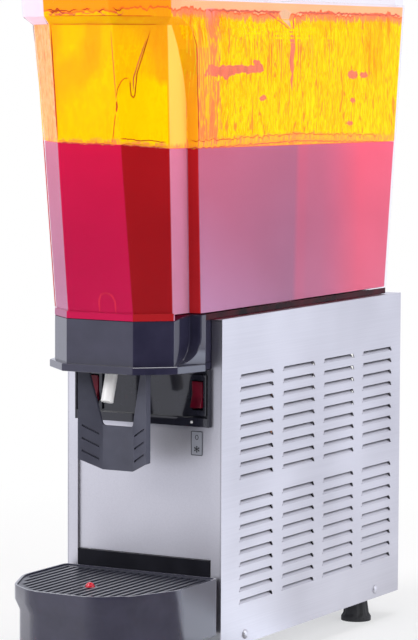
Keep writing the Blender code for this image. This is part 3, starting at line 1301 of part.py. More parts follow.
def make_pump():
    """Motor on a bracket inside the evaporator, with its magnet, impeller, cover, riser and nozzle."""
    place = evaporator_place()
    sleeve = EVAPORATOR_RADIUS - EVAPORATOR_WALL - INSULATION - 3 * SHEET
    top = MOTOR_BOTTOM - FIT
    sheet = 2 * SHEET
    flange = EVAPORATOR_FLANGE - sheet
    turned("motor_bracket", [(0, top), (sleeve, top), (sleeve, bracket_top()), (flange, bracket_top()),
                             (flange, bracket_top() - sheet), (sleeve - sheet, bracket_top() - sheet),
                             (sleeve - sheet, top - sheet), (0, top - sheet)], place, galvanised())
    bore = SHAFT_RADIUS + FIT
    deep = MOTOR_TOP - 3 * OVERRUN
    turned("pump_motor", [(0, MOTOR_BOTTOM), (MOTOR_RADIUS, MOTOR_BOTTOM), (MOTOR_RADIUS, MOTOR_TOP - OVERRUN),
                          (MOTOR_RADIUS - OVERRUN, MOTOR_TOP), (bore, MOTOR_TOP), (bore, deep), (0, deep)],
           place, painted_black())
    magnet = turned("drive_magnet", [(0, deep + FIT), (SHAFT_RADIUS, deep + FIT), (SHAFT_RADIUS, MAGNET_BOTTOM),
                                     (MAGNET_RADIUS, MAGNET_BOTTOM), (MAGNET_RADIUS, MAGNET_TOP), (0, MAGNET_TOP)],
                    place, galvanised())
    set_origin(magnet, place)

    low = EVAPORATOR_TOP + FIT
    impeller = tube_ring("impeller", PIN_RADIUS + FIT, MAGNET_RADIUS, low, IMPELLER_DISC_TOP, place, white_plastic())
    set_origin(impeller, place)
    blades = bmesh.new()
    for k in range(IMPELLER_BLADES):
        turn = Matrix.Rotation(math.tau * k / IMPELLER_BLADES, 3, "Z")
        outline = rectangle(SHEET, 3 * PIN_RADIUS, MAGNET_RADIUS - SHEET)
        start = [blades.verts.new(turn @ Vector((u, v, IMPELLER_DISC_TOP - SHEET))) for u, v in outline]
        end = [blades.verts.new(turn @ Vector((u, v, IMPELLER_BLADE_TOP))) for u, v in outline]
        close_prism(blades, start, end)
    fins = from_bmesh("impeller_blades", blades, white_plastic())
    fins.location = place
    weld(impeller, fins)

    cavity = COVER_RADIUS - COVER_WALL
    roof = IMPELLER_BLADE_TOP + COVER_WALL
    socket = TUBE_RADIUS + FIT
    cover = turned("pump_cover", [(cavity, low), (COVER_RADIUS, low), (COVER_RADIUS, roof - COVER_WALL),
                                  (COVER_RADIUS - 2 * COVER_WALL, COVER_TOP), (TUBE_RADIUS + COVER_WALL, COVER_TOP),
                                  (TUBE_RADIUS + COVER_WALL, COVER_SOCKET_TOP), (socket, COVER_SOCKET_TOP),
                                  (socket, COVER_TOP + FIT), (TUBE_BORE, COVER_TOP + FIT), (TUBE_BORE, roof),
                                  (cavity, roof)], place, white_plastic())
    reach = COVER_RADIUS + OVERRUN
    slot = 3 * COVER_WALL
    across = block("intake", (-reach, reach), (place[1] - slot, place[1] + slot),
                   (low + COVER_WALL, low + 2.5 * COVER_WALL), white_plastic())
    along = block("intake", (-slot, slot), (place[1] - reach, place[1] + reach),
                  (low + COVER_WALL, low + 2.5 * COVER_WALL), white_plastic())
    cut(cover, across, along)
    tube_ring("spray_tube", TUBE_BORE, TUBE_RADIUS, COVER_TOP + 2 * FIT, TUBE_TOP, place, clear())
    end = TUBE_TOP + FIT
    bevel = NOZZLE_RADIUS / 3
    nozzle = turned("spray_nozzle", [(0, NOZZLE_TOP), (NOZZLE_RADIUS - bevel, NOZZLE_TOP),
                                     (NOZZLE_RADIUS, NOZZLE_TOP - bevel), (NOZZLE_RADIUS, NOZZLE_BOTTOM),
                                     (socket, NOZZLE_BOTTOM), (socket, end), (TUBE_BORE, end),
                                     (TUBE_BORE, NOZZLE_TOP - bevel), (0, NOZZLE_TOP - bevel)], place, white_plastic())
    width = bevel / 2
    reach = NOZZLE_RADIUS + OVERRUN
    jets = (end + width, end + 2 * bevel)
    cut(nozzle, block("jet", (-reach, reach), (place[1] - width, place[1] + width), jets, white_plastic()),
        block("jet", (-width, width), (place[1] - reach, place[1] + reach), jets, white_plastic()))


def pan_top():
    return FOOT_HEIGHT + PAN_WALL + FIT


def make_compressor():
    """Hermetic compressor: a domed can on a plate that stands on four rubber mounts."""
    y = behind(COMPRESSOR_BACK)
    low, high, radius = COMPRESSOR_BOTTOM, COMPRESSOR_TOP, COMPRESSOR_RADIUS
    dome = radius / 3
    can = turned("compressor", [(0, low - SHEET), (radius - dome, low - SHEET), (radius, low + dome),
                                (radius, high - 2 * dome), (radius - dome / 2, high - dome / 2),
                                (radius - 1.5 * dome, high), (0, high)], (0, y, 0), painted_black())
    plate = block("mount_plate", (-PLATE_HALF, PLATE_HALF), (y - PLATE_HALF, y + PLATE_HALF),
                  (low - PLATE_THICK, low), painted_black())
    box = block("terminal_box", (radius - dome, radius + dome / 2), (y - dome, y + dome),
                (low + dome, low + 4 * dome), painted_black())
    weld(can, plate, box)
    mount = [(0, pan_top()), (GROMMET_RADIUS, pan_top()), (GROMMET_RADIUS * 0.7, (pan_top() + low) / 2),
             (GROMMET_RADIUS, low - PLATE_THICK - FIT), (0, low - PLATE_THICK - FIT)]
    for side, side_name in ((-1, "left"), (1, "right")):
        for end, end_name in ((-1, "front"), (1, "rear")):
            turned(f"{end_name}_{side_name}_mount", mount, (side * GROMMET_PLACE, y + end * GROMMET_PLACE, 0),
                   rubber(), SMALL_STEPS)


def make_condenser():
    """Finned block: upright fins on both sides of a tube core."""
    y = behind(CONDENSER_BACK)
    pitch = (2 * CONDENSER_HALF - FIN_THICK) / (CONDENSER_FINS - 1)
    near, far = y - CONDENSER_DEPTH / 2, y + CONDENSER_DEPTH / 2
    core = CORE_DEPTH / 2
    front = []
    for k in range(CONDENSER_FINS):
        x = -CONDENSER_HALF + k * pitch
        front += [(x, y - core), (x, near), (x + FIN_THICK, near), (x + FIN_THICK, y - core)]
    front = front[1:-1]
    rear = [(px, 2 * y - py) for px, py in reversed(front)]
    prism("condenser", front + rear, pan_top(), CONDENSER_TOP, aluminium())


def make_fan():
    """Axial fan: shroud, bladed rotor on the motor's shaft, and the motor on its stand."""
    y = behind(FAN_BACK - SHROUD_DEPTH)
    hole = FAN_RADIUS + FAN_TIP_GAP
    shroud = block("fan_shroud", (-SHROUD_HALF, SHROUD_HALF), (y - SHROUD_DEPTH / 2, y - SHROUD_DEPTH / 2 + 2 * SHEET),
                   (pan_top(), FAN_HEIGHT + SHROUD_HALF), galvanised())
    sleeve = rod("shroud_sleeve", hole + 2 * SHEET, -SHROUD_DEPTH / 2 + SHEET, SHROUD_DEPTH / 2, (0, y, FAN_HEIGHT),
                 galvanised(), ROUND_STEPS, "Y")
    opening = rod("shroud_opening", hole, -SHROUD_DEPTH, SHROUD_DEPTH, (0, y, FAN_HEIGHT), galvanised(),
                  ROUND_STEPS, "Y")
    weld(shroud, sleeve)
    cut(shroud, opening)

    front = FAN_BACK + 2 * OVERRUN
    bore = SHAFT_RADIUS + FIT
    deep = 3 * OVERRUN
    motor = turned("fan_motor", [(0, deep), (bore, deep), (bore, 0), (FAN_MOTOR_RADIUS - OVERRUN, 0),
                                 (FAN_MOTOR_RADIUS, OVERRUN), (FAN_MOTOR_RADIUS, FAN_MOTOR_DEPTH), (0, FAN_MOTOR_DEPTH)],
                   (0, behind(front), FAN_HEIGHT), painted_black(), ROUND_STEPS, "Y")
    stand = block("motor_stand", (-FAN_MOTOR_RADIUS / 2, FAN_MOTOR_RADIUS / 2),
                  (behind(front + 2 * OVERRUN), behind(front + FAN_MOTOR_DEPTH)),
                  (pan_top(), FAN_HEIGHT - FAN_MOTOR_RADIUS + OVERRUN), painted_black())
    weld(motor, stand)

    centre = (0, y, FAN_HEIGHT)
    half = SHROUD_DEPTH / 2 - SHEET
    shaft_end = front - (FAN_BACK - SHROUD_DEPTH) + deep - FIT
    hub = turned("fan_blade", [(0, -half), (FAN_HUB - SHEET, -half), (FAN_HUB, SHEET - half), (FAN_HUB, half),
                               (SHAFT_RADIUS, half), (SHAFT_RADIUS, shaft_end), (0, shaft_end)],
                 centre, dark_plastic(), ROUND_STEPS, "Y")
    set_origin(hub, centre)
    blades = bmesh.new()
    chord_half = FAN_HUB * FAN_CHORD_SHARE
    for k in range(FAN_BLADES):
        spin = Matrix.Rotation(math.tau * k / FAN_BLADES, 3, "Y")
        ring = []
        for radius, pitch in ((FAN_HUB - SHEET, FAN_ROOT_PITCH), (FAN_RADIUS * 0.6, FAN_TIP_PITCH),
                              (FAN_RADIUS * 0.97, FAN_TIP_PITCH)):
            lean = Matrix.Rotation(pitch, 3, "Z")
            width = chord_half * (0.6 if radius < FAN_HUB else 1)
            corners = [Vector((-width, -SHEET * 0.8, radius)), Vector((width, -SHEET * 0.8, radius)),
                       Vector((width, SHEET * 0.8, radius)), Vector((-width, SHEET * 0.8, radius))]
            ring.append([blades.verts.new(spin @ (lean @ corner)) for corner in corners])
        blades.faces.new(ring[0])
        blades.faces.new(ring[-1])
        for first, second in zip(ring, ring[1:]):
            for k2 in range(4):
                blades.faces.new((first[k2 - 1], first[k2], second[k2], second[k2 - 1]))
    vanes = from_bmesh("fan_vanes", blades, dark_plastic())
    vanes.location = centre
    weld(hub, vanes)


def make_control_box():
    """Moulded box for the thermostat and the wiring, hung under the deck."""
    box = block("control_box", (-BOX_HALF, BOX_HALF), (behind(BOX_FRONT), behind(BOX_BACK)),
                (BOX_BOTTOM, deck_bottom() - FIT), dark_plastic())
    bevel = box.modifiers.new("edges", "BEVEL")
    bevel.width = OVERRUN / 2
    bevel.segments = 1


def make_pipes():
    """Refrigerant lines and the filter drier between compressor, condenser and evaporator."""
    can_front = COMPRESSOR_BACK - COMPRESSOR_RADIUS - FIT
    port = COMPRESSOR_BOTTOM + COMPRESSOR_RADIUS * 2
    side = CONDENSER_HALF - 3 * PIPE_RADIUS
    over = CONDENSER_TOP + 7 * PIPE_RADIUS
    bend = 4 * PIPE_RADIUS
    entry = CONDENSER_TOP + FIT
    pipe("discharge_pipe", bent([(0, behind(can_front), port), (0, behind(can_front - 2 * bend), port),
                                 (-side, behind(can_front - 2 * bend), port), (-side, behind(can_front - 2 * bend), over),
                                 (-side, behind(CONDENSER_BACK), over), (-side, behind(CONDENSER_BACK), entry)], bend / 2),
         PIPE_RADIUS, copper())
    drier_front = FAN_BACK + 4 * bend
    drier_back = drier_front + 4 * bend
    drier_radius = 3 * PIPE_RADIUS
    drier = turned("liquid_line", [(0, drier_front), (PIPE_RADIUS * 1.5, drier_front), (drier_radius, drier_front + bend / 2),
                            (drier_radius, drier_back - bend / 2), (PIPE_RADIUS * 1.5, drier_back), (0, drier_back)],
           (side, behind(0), over), copper(), SMALL_STEPS, "Y")
    inlet = pipe("drier_inlet", bent([(side, behind(CONDENSER_BACK), entry), (side, behind(CONDENSER_BACK), over),
                                      (side, behind(drier_front + PIPE_RADIUS), over)], bend / 2), PIPE_RADIUS, copper())
    under = bracket_top() - 2 * SHEET - FIT
    ring = (EVAPORATOR_RADIUS + EVAPORATOR_FLANGE) / 2 - 3 * PIPE_RADIUS
    outlet = pipe("drier_outlet", bent([(side, behind(drier_back - PIPE_RADIUS), over),
                                        (side, behind(EVAPORATOR_BACK), over),
                                        (ring, behind(EVAPORATOR_BACK), over + bend),
                                        (ring, behind(EVAPORATOR_BACK), under)], bend / 3), PIPE_RADIUS, copper())
    weld(drier, as_mesh(inlet, copper()), as_mesh(outlet, copper()))
    pipe("suction_pipe", bent([(-ring, behind(EVAPORATOR_BACK), under), (-ring, behind(EVAPORATOR_BACK), over + 2 * bend),
                               (-COMPRESSOR_RADIUS / 4, behind(COMPRESSOR_BACK), over + 2 * bend),
                               (-COMPRESSOR_RADIUS / 4, behind(COMPRESSOR_BACK), COMPRESSOR_TOP + FIT)], bend / 2),
         PIPE_RADIUS, copper())


def clear_scene():
    for item in list(bpy.data.objects):
        bpy.data.objects.remove(item)


def build():
    clear_scene()
    make_base_pan()
    make_feet()
    make_side_panels()
    make_front_panel()
    make_tray_bracket()
    make_rear_panel()
    make_cord_gland()
    make_top_deck()
    make_screws()
    make_console()
    make_switches()
    make_collar()
    make_bowl()
    make_lid()
    make_tap()
    make_lever()
    make_tray()
    make_grille()
    make_float()
    make_evaporator()
    make_pump()
    make_compressor()
    make_condenser()
    make_fan()
    make_control_box()
    make_pipes()


build()
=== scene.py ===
import json
import math
from functools import partial

import bmesh
import bpy
from mathutils import Matrix, Vector, noise

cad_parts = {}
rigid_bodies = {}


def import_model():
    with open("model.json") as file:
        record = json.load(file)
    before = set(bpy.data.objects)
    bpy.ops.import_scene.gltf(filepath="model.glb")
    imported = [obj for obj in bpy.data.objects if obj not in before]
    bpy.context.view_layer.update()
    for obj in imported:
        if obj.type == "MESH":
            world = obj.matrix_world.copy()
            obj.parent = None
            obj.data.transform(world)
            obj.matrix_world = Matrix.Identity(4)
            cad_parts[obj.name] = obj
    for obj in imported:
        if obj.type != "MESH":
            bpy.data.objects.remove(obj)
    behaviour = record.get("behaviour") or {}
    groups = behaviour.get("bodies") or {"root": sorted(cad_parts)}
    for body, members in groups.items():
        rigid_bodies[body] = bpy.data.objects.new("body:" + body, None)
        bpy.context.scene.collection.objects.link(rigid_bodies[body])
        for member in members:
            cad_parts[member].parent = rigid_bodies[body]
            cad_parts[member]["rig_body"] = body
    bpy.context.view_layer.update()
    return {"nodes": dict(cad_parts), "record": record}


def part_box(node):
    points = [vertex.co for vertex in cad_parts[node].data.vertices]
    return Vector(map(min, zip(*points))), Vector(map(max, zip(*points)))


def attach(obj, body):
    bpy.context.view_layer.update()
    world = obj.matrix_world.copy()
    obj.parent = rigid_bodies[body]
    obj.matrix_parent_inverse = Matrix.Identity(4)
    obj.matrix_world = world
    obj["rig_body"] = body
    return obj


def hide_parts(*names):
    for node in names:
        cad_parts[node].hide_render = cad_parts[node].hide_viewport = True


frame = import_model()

nodes = frame["nodes"]
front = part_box("front_panel")[0][1]  # the cabinet's front plane
print("frame loaded:", len(nodes), "nodes")

scene = bpy.context.scene
scene.view_settings.view_transform = "Standard"


def behind(distance):
    return front + distance


# camera: a long lens, turned to the right side and a little down
cameraSet = {"place": (1.53258, behind(-2.60223), 0.62267), "turn": 29.257, "down": 5.051, "roll": 0.263,
             "focal": 3019.2, "longSide": 640}
cameraData = bpy.data.cameras.new("photoCamera")
cameraData.sensor_width = 36
cameraData.lens = cameraSet["focal"] * cameraData.sensor_width / cameraSet["longSide"]
cameraData.clip_end = 50
camera = bpy.data.objects.new("photoCamera", cameraData)
scene.collection.objects.link(camera)
camera.matrix_world = (Matrix.Translation(cameraSet["place"])
                       @ Matrix.Rotation(math.radians(cameraSet["turn"]), 4, "Z")
                       @ Matrix.Rotation(math.radians(90 - cameraSet["down"]), 4, "X")
                       @ Matrix.Rotation(math.radians(cameraSet["roll"]), 4, "Z"))
scene.camera = camera


# node helpers that the studio and the finishes share
def addNode(tree, kind, **values):
    node = tree.nodes.new(kind)
    for key, value in values.items():
        if key in node.bl_rna.properties:
            setattr(node, key, value)
        else:
            node.inputs[key.replace("_", " ")].default_value = value
    return node


def newMaterial(name, **values):
    material = bpy.data.materials.new(name)
    material.use_nodes = True
    shader = material.node_tree.nodes["Principled BSDF"]
    for key, value in values.items():
        shader.inputs[key.replace("_", " ")].default_value = value
    return material, material.node_tree, shader


def calc(tree, operation, *values):
    node = addNode(tree, "ShaderNodeMath", operation=operation)
    for socket, value in zip(node.inputs, values):
        if isinstance(value, (int, float)):
            socket.default_value = value
        else:
            tree.links.new(value, socket)
    return node.outputs[0]


def mixColour(tree, factor, first, second, blend="MIX"):
    node = addNode(tree, "ShaderNodeMix", data_type="RGBA", blend_type=blend)
    for label, value in (("A", first), ("B", second)):
        socket = [s for s in node.inputs if s.name == label and s.type == "RGBA"][0]
        if isinstance(value, tuple):
            socket.default_value = (*value, 1)
        else:
            tree.links.new(value, socket)
    share = [s for s in node.inputs if s.name == "Factor" and s.type == "VALUE"][0]
    if isinstance(factor, (int, float)):
        share.default_value = factor
    else:
        tree.links.new(factor, share)
    return [s for s in node.outputs if s.type == "RGBA"][0]


def rampNode(tree, stops, source, target=None):
    ramp = tree.nodes.new("ShaderNodeValToRGB")
    while len(ramp.color_ramp.elements) < len(stops):
        ramp.color_ramp.elements.new(0.5)
    for element, (position, colour) in zip(ramp.color_ramp.elements, stops):
        element.position = position
        element.color = (*colour, 1)
    tree.links.new(source, ramp.inputs["Fac"])
    if target is not None:
        tree.links.new(ramp.outputs["Color"], target)
    return ramp.outputs["Color"]


# studio: white world, pale floor, a dark and a bright card that only reflections see, three soft lamps
lightSet = {"world": 0.42, "seen": 1.0, "sky": (0.95, 0.97, 1.08),
            "dark": {"toward": (0.79, -0.61, 0.0), "fall": (0.45, 0.85), "colour": (0.02, 0.02, 0.035)},
            "bright": {"toward": (0.93, 0.36, 0.0), "fall": (0.94, 0.985), "colour": (2.4, 2.6, 3.0)},
            "key": {"place": (-1.3, -2.2, 1.9), "power": 42, "size": 1.4},
            "side": {"place": (2.6, -0.7, 1.5), "power": 34, "size": 1.6},
            "top": {"place": (0.1, 0.1, 2.6), "power": 24, "size": 1.2}, "aim": (0, 0, 0.35)}
floorSet = {"size": 9, "fade": (0.35, 1.2), "near": 0.5, "grain": 3, "rough": 0.9,
            "tones": ((0.0, (0.93, 0.93, 0.94)), (1.0, (0.97, 0.97, 0.97)))}


def cardColour(tree, direction, path):
    colour = lightSet["sky"]
    for label in ("dark", "bright"):
        card = lightSet[label]
        toCard = addNode(tree, "ShaderNodeVectorMath", operation="DOT_PRODUCT")
        toCard.inputs[1].default_value = card["toward"]
        tree.links.new(direction, toCard.inputs[0])
        fall = rampNode(tree, tuple(zip(card["fall"], ((0, 0, 0), (1, 1, 1)))), toCard.outputs["Value"])
        colour = mixColour(tree, fall, colour, card["colour"])
    return mixColour(tree, path.outputs["Is Glossy Ray"], (1, 1, 1), colour)


def seenRay(tree, path):
    rays = [path.outputs["Is " + label + " Ray"] for label in ("Camera", "Glossy", "Transmission")]
    return calc(tree, "MAXIMUM", calc(tree, "MAXIMUM", rays[0], rays[1]), rays[2])


def blendShaders(tree, share, first, second, out):
    blend = addNode(tree, "ShaderNodeMixShader")
    for socket, source in zip(blend.inputs, (share, first, second)):
        tree.links.new(source, socket)
    tree.links.new(blend.outputs[0], out.inputs["Surface"])


def buildWorld():
    world = bpy.data.worlds.new("studio")
    scene.world = world
    world.use_nodes = True
    tree = world.node_tree
    tree.nodes.clear()
    lit = addNode(tree, "ShaderNodeBackground", Color=(1, 1, 1, 1), Strength=lightSet["world"])
    seen = addNode(tree, "ShaderNodeBackground", Strength=lightSet["seen"])
    path = addNode(tree, "ShaderNodeLightPath")
    place = addNode(tree, "ShaderNodeTexCoord")
    tree.links.new(cardColour(tree, place.outputs["Generated"], path), seen.inputs["Color"])
    out = addNode(tree, "ShaderNodeOutputWorld")
    blendShaders(tree, seenRay(tree, path), lit.outputs[0], seen.outputs[0], out)


def addLamp(name, values):
    lamp = bpy.data.lights.new(name, "AREA")
    lamp.energy = values["power"]
    lamp.size = values["size"]
    item = bpy.data.objects.new(name, lamp)
    item.location = values["place"]
    item.rotation_euler = (Vector(lightSet["aim"]) - item.location).to_track_quat("-Z", "Y").to_euler()
    scene.collection.objects.link(item)


def floorFinish():
    material, tree, shader = newMaterial("paleFloor", Roughness=floorSet["rough"])
    mottle = addNode(tree, "ShaderNodeTexNoise", Scale=floorSet["grain"])
    rampNode(tree, floorSet["tones"], mottle.outputs["Fac"], shader.inputs["Base Color"])
    path = addNode(tree, "ShaderNodeLightPath")
    place = addNode(tree, "ShaderNodeTexCoord")
    away = addNode(tree, "ShaderNodeVectorMath", operation="LENGTH")
    unit = addNode(tree, "ShaderNodeVectorMath", operation="NORMALIZE")
    for node in (away, unit):
        tree.links.new(place.outputs["Object"], node.inputs[0])
    low, high = floorSet["fade"]
    spread = addNode(tree, "ShaderNodeMapRange", interpolation_type="SMOOTHSTEP", From_Min=low, From_Max=high,
                     To_Min=floorSet["near"])
    tree.links.new(away.outputs["Value"], spread.inputs["Value"])
    white = addNode(tree, "ShaderNodeEmission")
    tree.links.new(cardColour(tree, unit.outputs[0], path), white.inputs["Color"])
    share = calc(tree, "MULTIPLY", spread.outputs["Result"], seenRay(tree, path))
    out = tree.nodes["Material Output"]
    blendShaders(tree, share, shader.outputs["BSDF"], white.outputs["Emission"], out)
    return material


def buildFloor():
    shape = bmesh.new()
    bmesh.ops.create_grid(shape, x_segments=1, y_segments=1, size=floorSet["size"])
    mesh = bpy.data.meshes.new("studioFloor")
    shape.to_mesh(mesh)
    shape.free()
    mesh.materials.append(floorFinish())
    floor = bpy.data.objects.new("studioFloor", mesh)
    scene.collection.objects.link(floor)


buildWorld()
for lampName in ("key", "side", "top"):
    addLamp(lampName + "Lamp", lightSet[lampName])
buildFloor()
print("studio ready")


# shared node groups: each gives values that change over a surface
def newGroup(name, inputs):
    group = bpy.data.node_groups.new(name, "ShaderNodeTree")
    for label, start in inputs.items():
        group.interface.new_socket(label, in_out="INPUT", socket_type="NodeSocketFloat").default_value = start
    for label in ("Shade", "Height"):
        group.interface.new_socket(label, in_out="OUTPUT", socket_type="NodeSocketFloat")
    return group, group.nodes.new("NodeGroupInput"), group.nodes.new("NodeGroupOutput")


def makeGrainGroup():
    group, entry, leave = newGroup("sheetGrain", {"Along": 4.0, "Across": 900.0, "Depth": 0.3})
    place = addNode(group, "ShaderNodeTexCoord")
    size = addNode(group, "ShaderNodeCombineXYZ")
    scale = addNode(group, "ShaderNodeVectorMath", operation="MULTIPLY")
    hair = addNode(group, "ShaderNodeTexNoise", Scale=1.0, Detail=3.0)
    cloud = addNode(group, "ShaderNodeTexNoise", Scale=7.0, Detail=2.0)
    link = group.links.new
    for label, axis in (("Across", "X"), ("Along", "Y"), ("Across", "Z")):
        link(entry.outputs[label], size.inputs[axis])
    link(place.outputs["Object"], scale.inputs[0])
    link(size.outputs[0], scale.inputs[1])
    link(scale.outputs[0], hair.inputs["Vector"])
    link(place.outputs["Object"], cloud.inputs["Vector"])
    mixed = calc(group, "MULTIPLY_ADD", hair.outputs["Fac"], entry.outputs["Depth"], cloud.outputs["Fac"])
    link(mixed, leave.inputs["Shade"])
    link(hair.outputs["Fac"], leave.inputs["Height"])
    return group


def makeMottleGroup():
    group, entry, leave = newGroup("finishMottle", {"Scale": 40.0, "Fine": 900.0})
    place = addNode(group, "ShaderNodeTexCoord")
    for label, detail, result in (("Scale", 3.0, "Shade"), ("Fine", 1.0, "Height")):
        node = addNode(group, "ShaderNodeTexNoise", Detail=detail)
        group.links.new(place.outputs["Object"], node.inputs["Vector"])
        group.links.new(entry.outputs[label], node.inputs["Scale"])
        group.links.new(node.outputs["Fac"], leave.inputs[result])
    return group


grainGroup = makeGrainGroup()
mottleGroup = makeMottleGroup()


def roughRange(tree, rough, source, shader):
    spread = addNode(tree, "ShaderNodeMapRange", To_Min=rough[0], To_Max=rough[1])
    tree.links.new(source, spread.inputs["Value"])
    tree.links.new(spread.outputs["Result"], shader.inputs["Roughness"])


def bumpOn(tree, source, strength, distance, shader):
    bump = addNode(tree, "ShaderNodeBump", Strength=strength, Distance=distance)
    tree.links.new(source, bump.inputs["Height"])
    tree.links.new(bump.outputs["Normal"], shader.inputs["Normal"])


def sheetMetal(name, dark, light, rough, **values):
    material, tree, shader = newMaterial(name, Metallic=1.0)
    grain = addNode(tree, "ShaderNodeGroup", node_tree=grainGroup, **values)
    rampNode(tree, ((0.35, dark), (0.85, light)), grain.outputs["Shade"], shader.inputs["Base Color"])
    roughRange(tree, rough, grain.outputs["Shade"], shader)
    bumpOn(tree, grain.outputs["Height"], 0.12, 0.0002, shader)
    return material


def moulded(name, dark, light, rough, bump, **values):
    material, tree, shader = newMaterial(name, **values)
    mottle = addNode(tree, "ShaderNodeGroup", node_tree=mottleGroup)
    rampNode(tree, ((0.3, dark), (0.7, light)), mottle.outputs["Shade"], shader.inputs["Base Color"])
    roughRange(tree, rough, mottle.outputs["Shade"], shader)
    bumpOn(tree, mottle.outputs["Height"], bump, 0.0002, shader)
    return material


def clearPlastic():
    material, tree, shader = newMaterial("clearPlastic", Transmission_Weight=1.0, IOR=1.035)
    mottle = addNode(tree, "ShaderNodeGroup", node_tree=mottleGroup, Scale=18, Fine=60)
    rampNode(tree, ((0.3, (0.97, 0.93, 0.93)), (0.7, (1.0, 0.97, 0.97))), mottle.outputs["Shade"],
             shader.inputs["Base Color"])
    roughRange(tree, (0.02, 0.06), mottle.outputs["Shade"], shader)
    bumpOn(tree, mottle.outputs["Height"], 0.03, 0.0004, shader)
    return material


finishes = {
    "brushed_steel": sheetMetal("brushedSteel", (0.52, 0.51, 0.545), (0.67, 0.66, 0.7), (0.34, 0.46),
                                Along=6.0, Across=700.0, Depth=0.3),
    "galvanised_sheet": sheetMetal("zincSheet", (0.38, 0.39, 0.41), (0.6, 0.61, 0.63), (0.4, 0.6),
                                   Along=60.0, Across=60.0, Depth=0.6),
    "bright_steel": sheetMetal("brightSteel", (0.62, 0.62, 0.64), (0.74, 0.74, 0.76), (0.14, 0.24),
                               Along=20.0, Across=500.0, Depth=0.2),
    "aluminium": sheetMetal("finStock", (0.62, 0.63, 0.65), (0.78, 0.79, 0.81), (0.3, 0.45),
                            Along=30.0, Across=300.0, Depth=0.3),
    "copper": sheetMetal("drawnCopper", (0.55, 0.24, 0.13), (0.78, 0.4, 0.25), (0.22, 0.42),
                         Along=30.0, Across=120.0, Depth=0.4),
    "black_gloss_plastic": moulded("glossBlack", (0.012, 0.012, 0.02), (0.02, 0.02, 0.031), (0.07, 0.12),
                                   0.02, Coat_Weight=0.4),
    "dark_grey_plastic": moulded("satinCharcoal", (0.022, 0.022, 0.032), (0.034, 0.034, 0.047), (0.34, 0.46),
                                 0.25),
    "white_plastic": moulded("satinWhite", (0.8, 0.79, 0.8), (0.88, 0.87, 0.88), (0.25, 0.36), 0.05),
    "red_plastic": moulded("glossRed", (0.17, 0.003, 0.014), (0.24, 0.005, 0.02), (0.16, 0.24), 0.03),
    "black_rubber": moulded("matRubber", (0.014, 0.014, 0.016), (0.026, 0.026, 0.028), (0.55, 0.75), 0.3),
    "black_enamel": moulded("blackEnamel", (0.008, 0.008, 0.011), (0.015, 0.015, 0.02), (0.34, 0.48), 0.12),
    "foam": moulded("rigidFoam", (0.66, 0.56, 0.34), (0.8, 0.7, 0.48), (0.8, 0.95), 0.6),
    "clear_plastic": clearPlastic(),
}
leverGrey = moulded("leverGrey", (0.044, 0.045, 0.068), (0.062, 0.064, 0.094), (0.4, 0.5), 0.2)
matBlack = moulded("matBlack", (0.006, 0.006, 0.01), (0.012, 0.012, 0.018), (0.45, 0.6), 0.1,
                   Specular_IOR_Level=0.12)
collarBlack = moulded("collarBlack", (0.02, 0.019, 0.04), (0.03, 0.028, 0.056), (0.07, 0.12), 0.02,
                      Coat_Weight=0.4)
grilleGrey = moulded("grilleGrey", (0.032, 0.033, 0.048), (0.048, 0.05, 0.07), (0.3, 0.4), 0.1)


def setFinish(item, material):
    item.data.materials.clear()
    item.data.materials.append(material)


slotOf = {entry["node"]: entry["material_slot"] for entry in frame["record"]["subparts"]}
for nodeName, item in nodes.items():
    setFinish(item, finishes[slotOf[nodeName]])
setFinish(nodes["drip_grille"], grilleGrey)
print("finishes on all CAD nodes")


# drink and juice film: colours set by each face's direction and place on the bowl; on the drink these are
# painted shade and painted reflection, and both glow with painted light
def mathOn(tree):
    kinds = ("MULTIPLY", "ADD", "MULTIPLY_ADD", "GREATER_THAN", "LESS_THAN", "ABSOLUTE")
    return [partial(calc, tree, kind) for kind in kinds]


def brightness(tree, colour):
    node = tree.nodes.new("ShaderNodeRGBToBW")
    tree.links.new(colour, node.inputs[0])
    return node.outputs[0]


def mask(tree, low, high, source, first=0.0, last=1.0):
    return brightness(tree, rampNode(tree, ((low, (first,) * 3), (high, (last,) * 3)), source))


def faceAndPlace(tree):
    geometry = addNode(tree, "ShaderNodeTexCoord")
    parts = []
    for label in ("Normal", "Object"):
        split = addNode(tree, "ShaderNodeSeparateXYZ")
        tree.links.new(geometry.outputs[label], split.inputs[0])
        parts.append(split.outputs)
    return parts


def stretchedNoise(tree, scales, detail=3.0, distortion=0.0, shift=0.0):
    place = addNode(tree, "ShaderNodeTexCoord")
    mapping = addNode(tree, "ShaderNodeMapping", Scale=scales, Location=(shift, shift, shift))
    texture = addNode(tree, "ShaderNodeTexNoise", Scale=1.0, Detail=detail, Distortion=distortion)
    tree.links.new(place.outputs["Object"], mapping.inputs["Vector"])
    tree.links.new(mapping.outputs["Vector"], texture.inputs["Vector"])
    return texture.outputs["Fac"]


# where the bowl's flat sides start, and how straight a face has to look to count as one
faceSet = {"noseEnd": -0.003, "lean": 0.0775, "wide": 0.08, "straight": 0.8}


def onSideFace(tree, face, place):
    times, plus, line, over, under, size = mathOn(tree)
    behindNose = over(line(place[2], faceSet["lean"], place[1]), behind(faceSet["noseEnd"]))
    wide = over(size(place[0]), faceSet["wide"])
    return times(calc(tree, "MAXIMUM", behindNose, wide), over(size(face[0]), faceSet["straight"]))


def onLedge(tree, face, place, reach):
    times, plus, line, over, under, size = mathOn(tree)
    return times(times(over(size(place[0]), reach), over(size(face[1]), faceSet["straight"])),
                 under(place[1], behind(0.0)))
